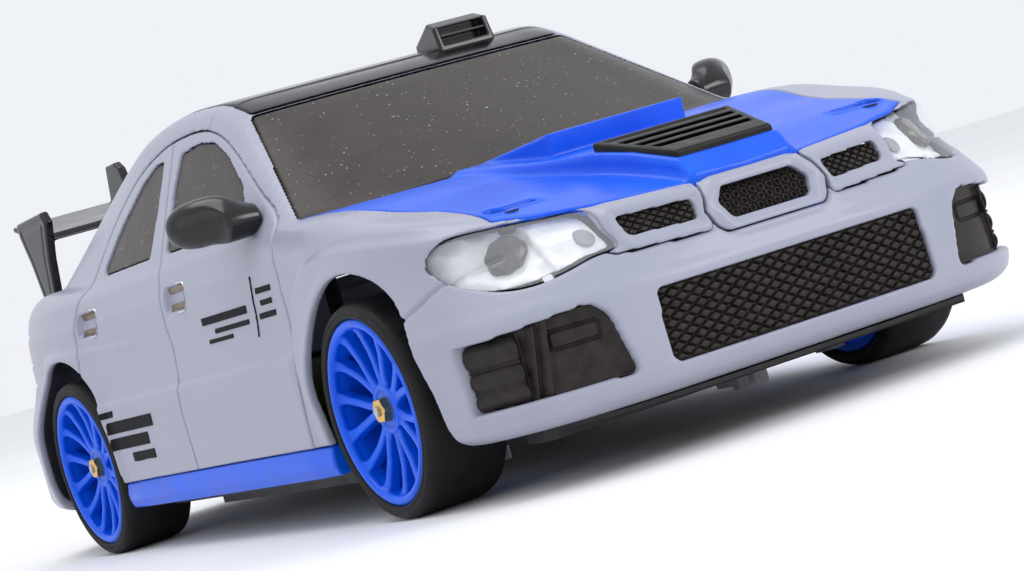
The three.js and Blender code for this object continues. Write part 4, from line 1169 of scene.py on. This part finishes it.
def build_marks():
    """Plain printed bars on the doors."""
    for label, marks, low, high in (("front", DOOR_MARKS, (-34, 24.6), (-3, 34.5)),
                                    ("rear", REAR_MARKS, (15, 12), (38, 22))):
        g = Grid((35, *low), (40.5, *high), 0.12 * COARSE)
        outer = car_body_plain(g)
        field = np.maximum(abs(outer - 0.03) - 0.09, bar_marks(g, marks))
        pair("door_bars_" + label, g, field, 20000, MARK_BLACK, "", "black_plastic")


# ---------------------------------------------------------------- wheels
SPOKE_PAIRS = 7
RIM_LIP_R = 10.85
HUB_R = 3.0
AXLE_HOLE_R = 0.78
NUT_X = (36.6, 38.0)
NUT_HALF = 1.4


def spoke_field(u, v):
    """Distance across from the middle of the nearest spoke, and the spoke's half width."""
    radius = np.hypot(u, v)
    angle = np.arctan2(v, u)
    pitch = 2 * math.pi / SPOKE_PAIRS
    folded = np.abs(angle - np.round(angle / pitch) * pitch)
    lean = np.interp(radius, [2, 4, 7, 10.4], [0.20, 0.135, 0.19, 0.235])
    width = np.interp(radius, [2, 5, 9, 10.6], [0.62, 0.52, 0.56, 0.8])
    return radius * np.sin(np.clip(folded - lean, -1.5, 1.5)), width


def rim_field(g):
    """Dished rim: rounded lip, seven pairs of spokes, sunken hub."""
    u, v = g.side
    radius = np.hypot(u, v)
    x = g.x[:, None, None]
    across, width = spoke_field(u, v)
    face = np.interp(radius, [0, 2.3, 2.7, 4, 7, 9.4, 11], [36.2, 36.2, 36.7, 36.9, 37.1, 37.6, 38.3])
    flat = on_yz(abs(across) - width)
    spoke = smooth_max(flat, abs(x - on_yz(face - 0.9)) - 0.9, 0.35)
    spoke = np.maximum(spoke, on_yz(np.maximum(radius - 10.7, 2 - radius)))
    hub = smooth_max(on_yz(radius - HUB_R), abs(x - 34.4) - 2.4, 0.3)
    hub = np.minimum(hub, smooth_max(on_yz(abs(radius - 2.65) - 0.38), abs(x - 35.4) - 1.6, 0.2))
    barrel = np.maximum(on_yz(abs(radius - RIM_LIP_R) - 0.42), abs(x - 33.1) - 5.0)
    lip = np.hypot(on_yz(radius - RIM_LIP_R), x - 38.1) - 0.62
    barrel = smooth_min(barrel, lip, 0.3)
    wheel = smooth_min(smooth_min(spoke, hub, 0.35), barrel, 0.4)
    return np.maximum(wheel, on_yz(AXLE_HOLE_R - radius))


def wheel_body(place, side):
    """The rear wheels turn with their axle; each front wheel is a body of its own."""
    return "rear_axle_set" if place == "rear" else "wheel_front_" + side


def move_to_axle(made, axle_y):
    made.data.transform(Matrix.Translation((0, axle_y * MM, AXLE_Z * MM)))


def build_wheels():
    """Four copies of one rim and one tyre."""
    g = Grid((27.6, -11.8, -11.8), (39.2, 11.8, 11.8), 0.15 * COARSE)
    rim = piece_from("rim_master", rim_field(g), g.low, g.step, 70000)
    tyre = lathed("tyre_master", tyre_profile(), 144)
    for place, axle_y in AXLES:
        for side in SIDES:
            for master, label, look, slot in ((rim, "rim", BLUE, "blue_shell"),
                                              (tyre, "tyre", RUBBER, "tyre_rubber")):
                name = label + "_" + place + "_" + side
                made = bpy.data.objects.new(name + "_moulding", master.data.copy())
                bpy.context.scene.collection.objects.link(made)
                if side == "right":
                    mirror_mesh(made.data)
                move_to_axle(made, axle_y)
                finish_piece(made, look, wheel_body(place, side), [name])
    for master in (rim, tyre):
        bpy.data.objects.remove(master)


def build_nuts():
    """A gold domed hexagon nut over the end of each axle."""
    g = Grid((NUT_X[0] - 0.6, -2.6, -2.6), (NUT_X[1] + 0.6, 2.6, 2.6), 0.1 * COARSE)
    across = np.maximum(abs(g.Z), 0.5 * abs(g.Z) + 0.866 * abs(g.Y)) - NUT_HALF
    ball = np.sqrt((g.X - NUT_X[0] + 0.6) ** 2 + g.Y ** 2 + g.Z ** 2) - 2.5
    field = smooth_max(smooth_max(across, ball, 0.15), NUT_X[0] - g.X, 0.1)
    field = np.maximum(field, 0.62 - np.hypot(g.Y, g.Z))
    field = smooth_max(field, g.X - NUT_X[1], 0.2)
    for place, axle_y in AXLES:
        for made, side in zip(two_sided("wheel_nut_" + place, g, field, 8000), SIDES):
            move_to_axle(made, axle_y)
            finish_piece(made, BRASS, wheel_body(place, side), ["rim_" + place + "_" + side])


def tyre_profile():
    """Radius and distance out of a slick tyre, once round its section."""
    inner, outer = TYRE_INNER_X, TYRE_OUTER_X
    return [(11.3, inner + 0.5), (11.9, inner + 0.15), (12.5, inner + 0.1), (12.95, inner + 0.35),
            (13.2, inner + 0.9), (13.29, inner + 1.6), (13.3, (inner + outer) / 2), (13.29, outer - 1.6),
            (13.2, outer - 0.9), (12.95, outer - 0.35), (12.6, outer - 0.1), (12.3, outer - 0.02),
            (12.2, outer - 0.12), (12.05, outer - 0.12), (11.95, outer - 0.02), (11.7, outer - 0.02),
            (11.52, outer - 0.2), (11.4, outer - 0.6), (11.3, outer - 1.0)]


def lathed(name, profile, count):
    """A closed section turned about the wheel's axis."""
    points, faces = [], []
    ring = len(profile)
    for i in range(count):
        angle = 2 * math.pi * i / count
        for radius, out in profile:
            points.append((out * MM, radius * math.cos(angle) * MM, radius * math.sin(angle) * MM))
    for i in range(count):
        for j in range(ring):
            a, b = i * ring + j, i * ring + (j + 1) % ring
            c, d = ((i + 1) % count) * ring + (j + 1) % ring, ((i + 1) % count) * ring + j
            faces.append((a, b, c, d))
    made = quad_mesh(name, np.array(points), np.array(faces))
    made.data.polygons.foreach_set("use_smooth", np.ones(len(faces), bool))
    return made


# ---------------------------------------------------------------- everything together
def dress_cad_nodes():
    """Give each CAD node that stays the look of its slot."""
    slots = node_slots()
    for made in bpy.context.scene.objects:
        name = made.name
        if made.type != "MESH" or name not in slots:
            continue
        look = SLOT_LOOKS[slots[name]]
        if not made.material_slots:
            made.data.materials.append(look)
        for place in made.material_slots:
            place.link = "OBJECT"
            place.material = look


def node_slots():
    """Slot of each CAD node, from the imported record."""
    return {part["node"]: part["material_slot"] for part in frame["record"]["subparts"]}


CAMERA_TURN = (-27.245, 0.855, -16.649)
CAMERA_TARGET = (1.471, -20.803, 22.293)
CAMERA_DISTANCE = 398.72
CAMERA_LENS = 104.57


def place_camera():
    """Camera at the angle of the photograph: azimuth, elevation and roll about a target."""
    azimuth, elevation, roll = (math.radians(v) for v in CAMERA_TURN)
    back = Vector((math.sin(azimuth) * math.cos(elevation), -math.cos(azimuth) * math.cos(elevation),
                   math.sin(elevation)))
    right = Vector((math.cos(azimuth), math.sin(azimuth), 0))
    up = back.cross(right)
    rolled_right = math.cos(roll) * right + math.sin(roll) * up
    rolled_up = math.cos(roll) * up - math.sin(roll) * right
    lens = bpy.data.cameras.new("photo_camera")
    lens.lens = CAMERA_LENS
    lens.sensor_width = 36
    lens.clip_start = 0.01
    camera = bpy.data.objects.new("photo_camera", lens)
    bpy.context.scene.collection.objects.link(camera)
    place = (Vector(CAMERA_TARGET) + back * CAMERA_DISTANCE) * MM
    turn = Matrix((rolled_right, rolled_up, back)).transposed().to_4x4()
    camera.matrix_world = Matrix.Translation(place) @ turn
    bpy.context.scene.camera = camera


def area_light(name, place, target, size, watts):
    lamp = bpy.data.lights.new(name, "AREA")
    lamp.size = size
    lamp.energy = watts
    made = bpy.data.objects.new(name, lamp)
    bpy.context.scene.collection.objects.link(made)
    made.location = place
    made.rotation_euler = (Vector(target) - Vector(place)).to_track_quat("-Z", "Y").to_euler()


def light_scene():
    """Bright even surroundings with three soft panels."""
    bpy.context.scene.view_settings.view_transform = "Standard"
    world = bpy.data.worlds.new("studio")
    world.use_nodes = True
    bpy.context.scene.world = world
    shade = world.node_tree.nodes["Background"]
    shade.inputs["Color"].default_value = (0.93, 0.95, 1.0, 1)
    shade.inputs["Strength"].default_value = 0.93
    area_light("sky_panel", (-0.1, 0.1, 0.8), (0, 0, 0.02), 0.5, 2.4)
    area_light("front_panel", (0.45, -0.75, 0.45), (0, -0.03, 0.02), 0.35, 2.4)
    area_light("side_panel", (-0.9, -0.1, 0.3), (0, 0, 0.02), 0.5, 0.4)


def lay_floor():
    far = 3.0
    mesh = bpy.data.meshes.new("floor")
    corners = [(-far, -far, 0), (far, -far, 0), (far, far, 0), (-far, far, 0)]
    mesh.from_pydata(corners, [], [(0, 1, 2, 3)])
    floor = bpy.data.objects.new("floor", mesh)
    bpy.context.scene.collection.objects.link(floor)
    look = plastic("pale_floor", (0.86, 0.86, 0.87), (0.90, 0.90, 0.91), 0.6, 0.05, 6)
    floor.data.materials.append(look)


build_shell()
build_surrounds()
build_bonnet()
build_windows()
build_screens()
build_roof()
build_roof_vent()
build_wing()
build_bonnet_vent()
build_grilles()
build_fog_panels()
build_headlights()
build_tail_lights()
build_mirrors()
build_skirts()
build_handles()
build_marks()
build_wheels()
build_nuts()
dress_cad_nodes()
lay_floor()
light_scene()
place_camera()
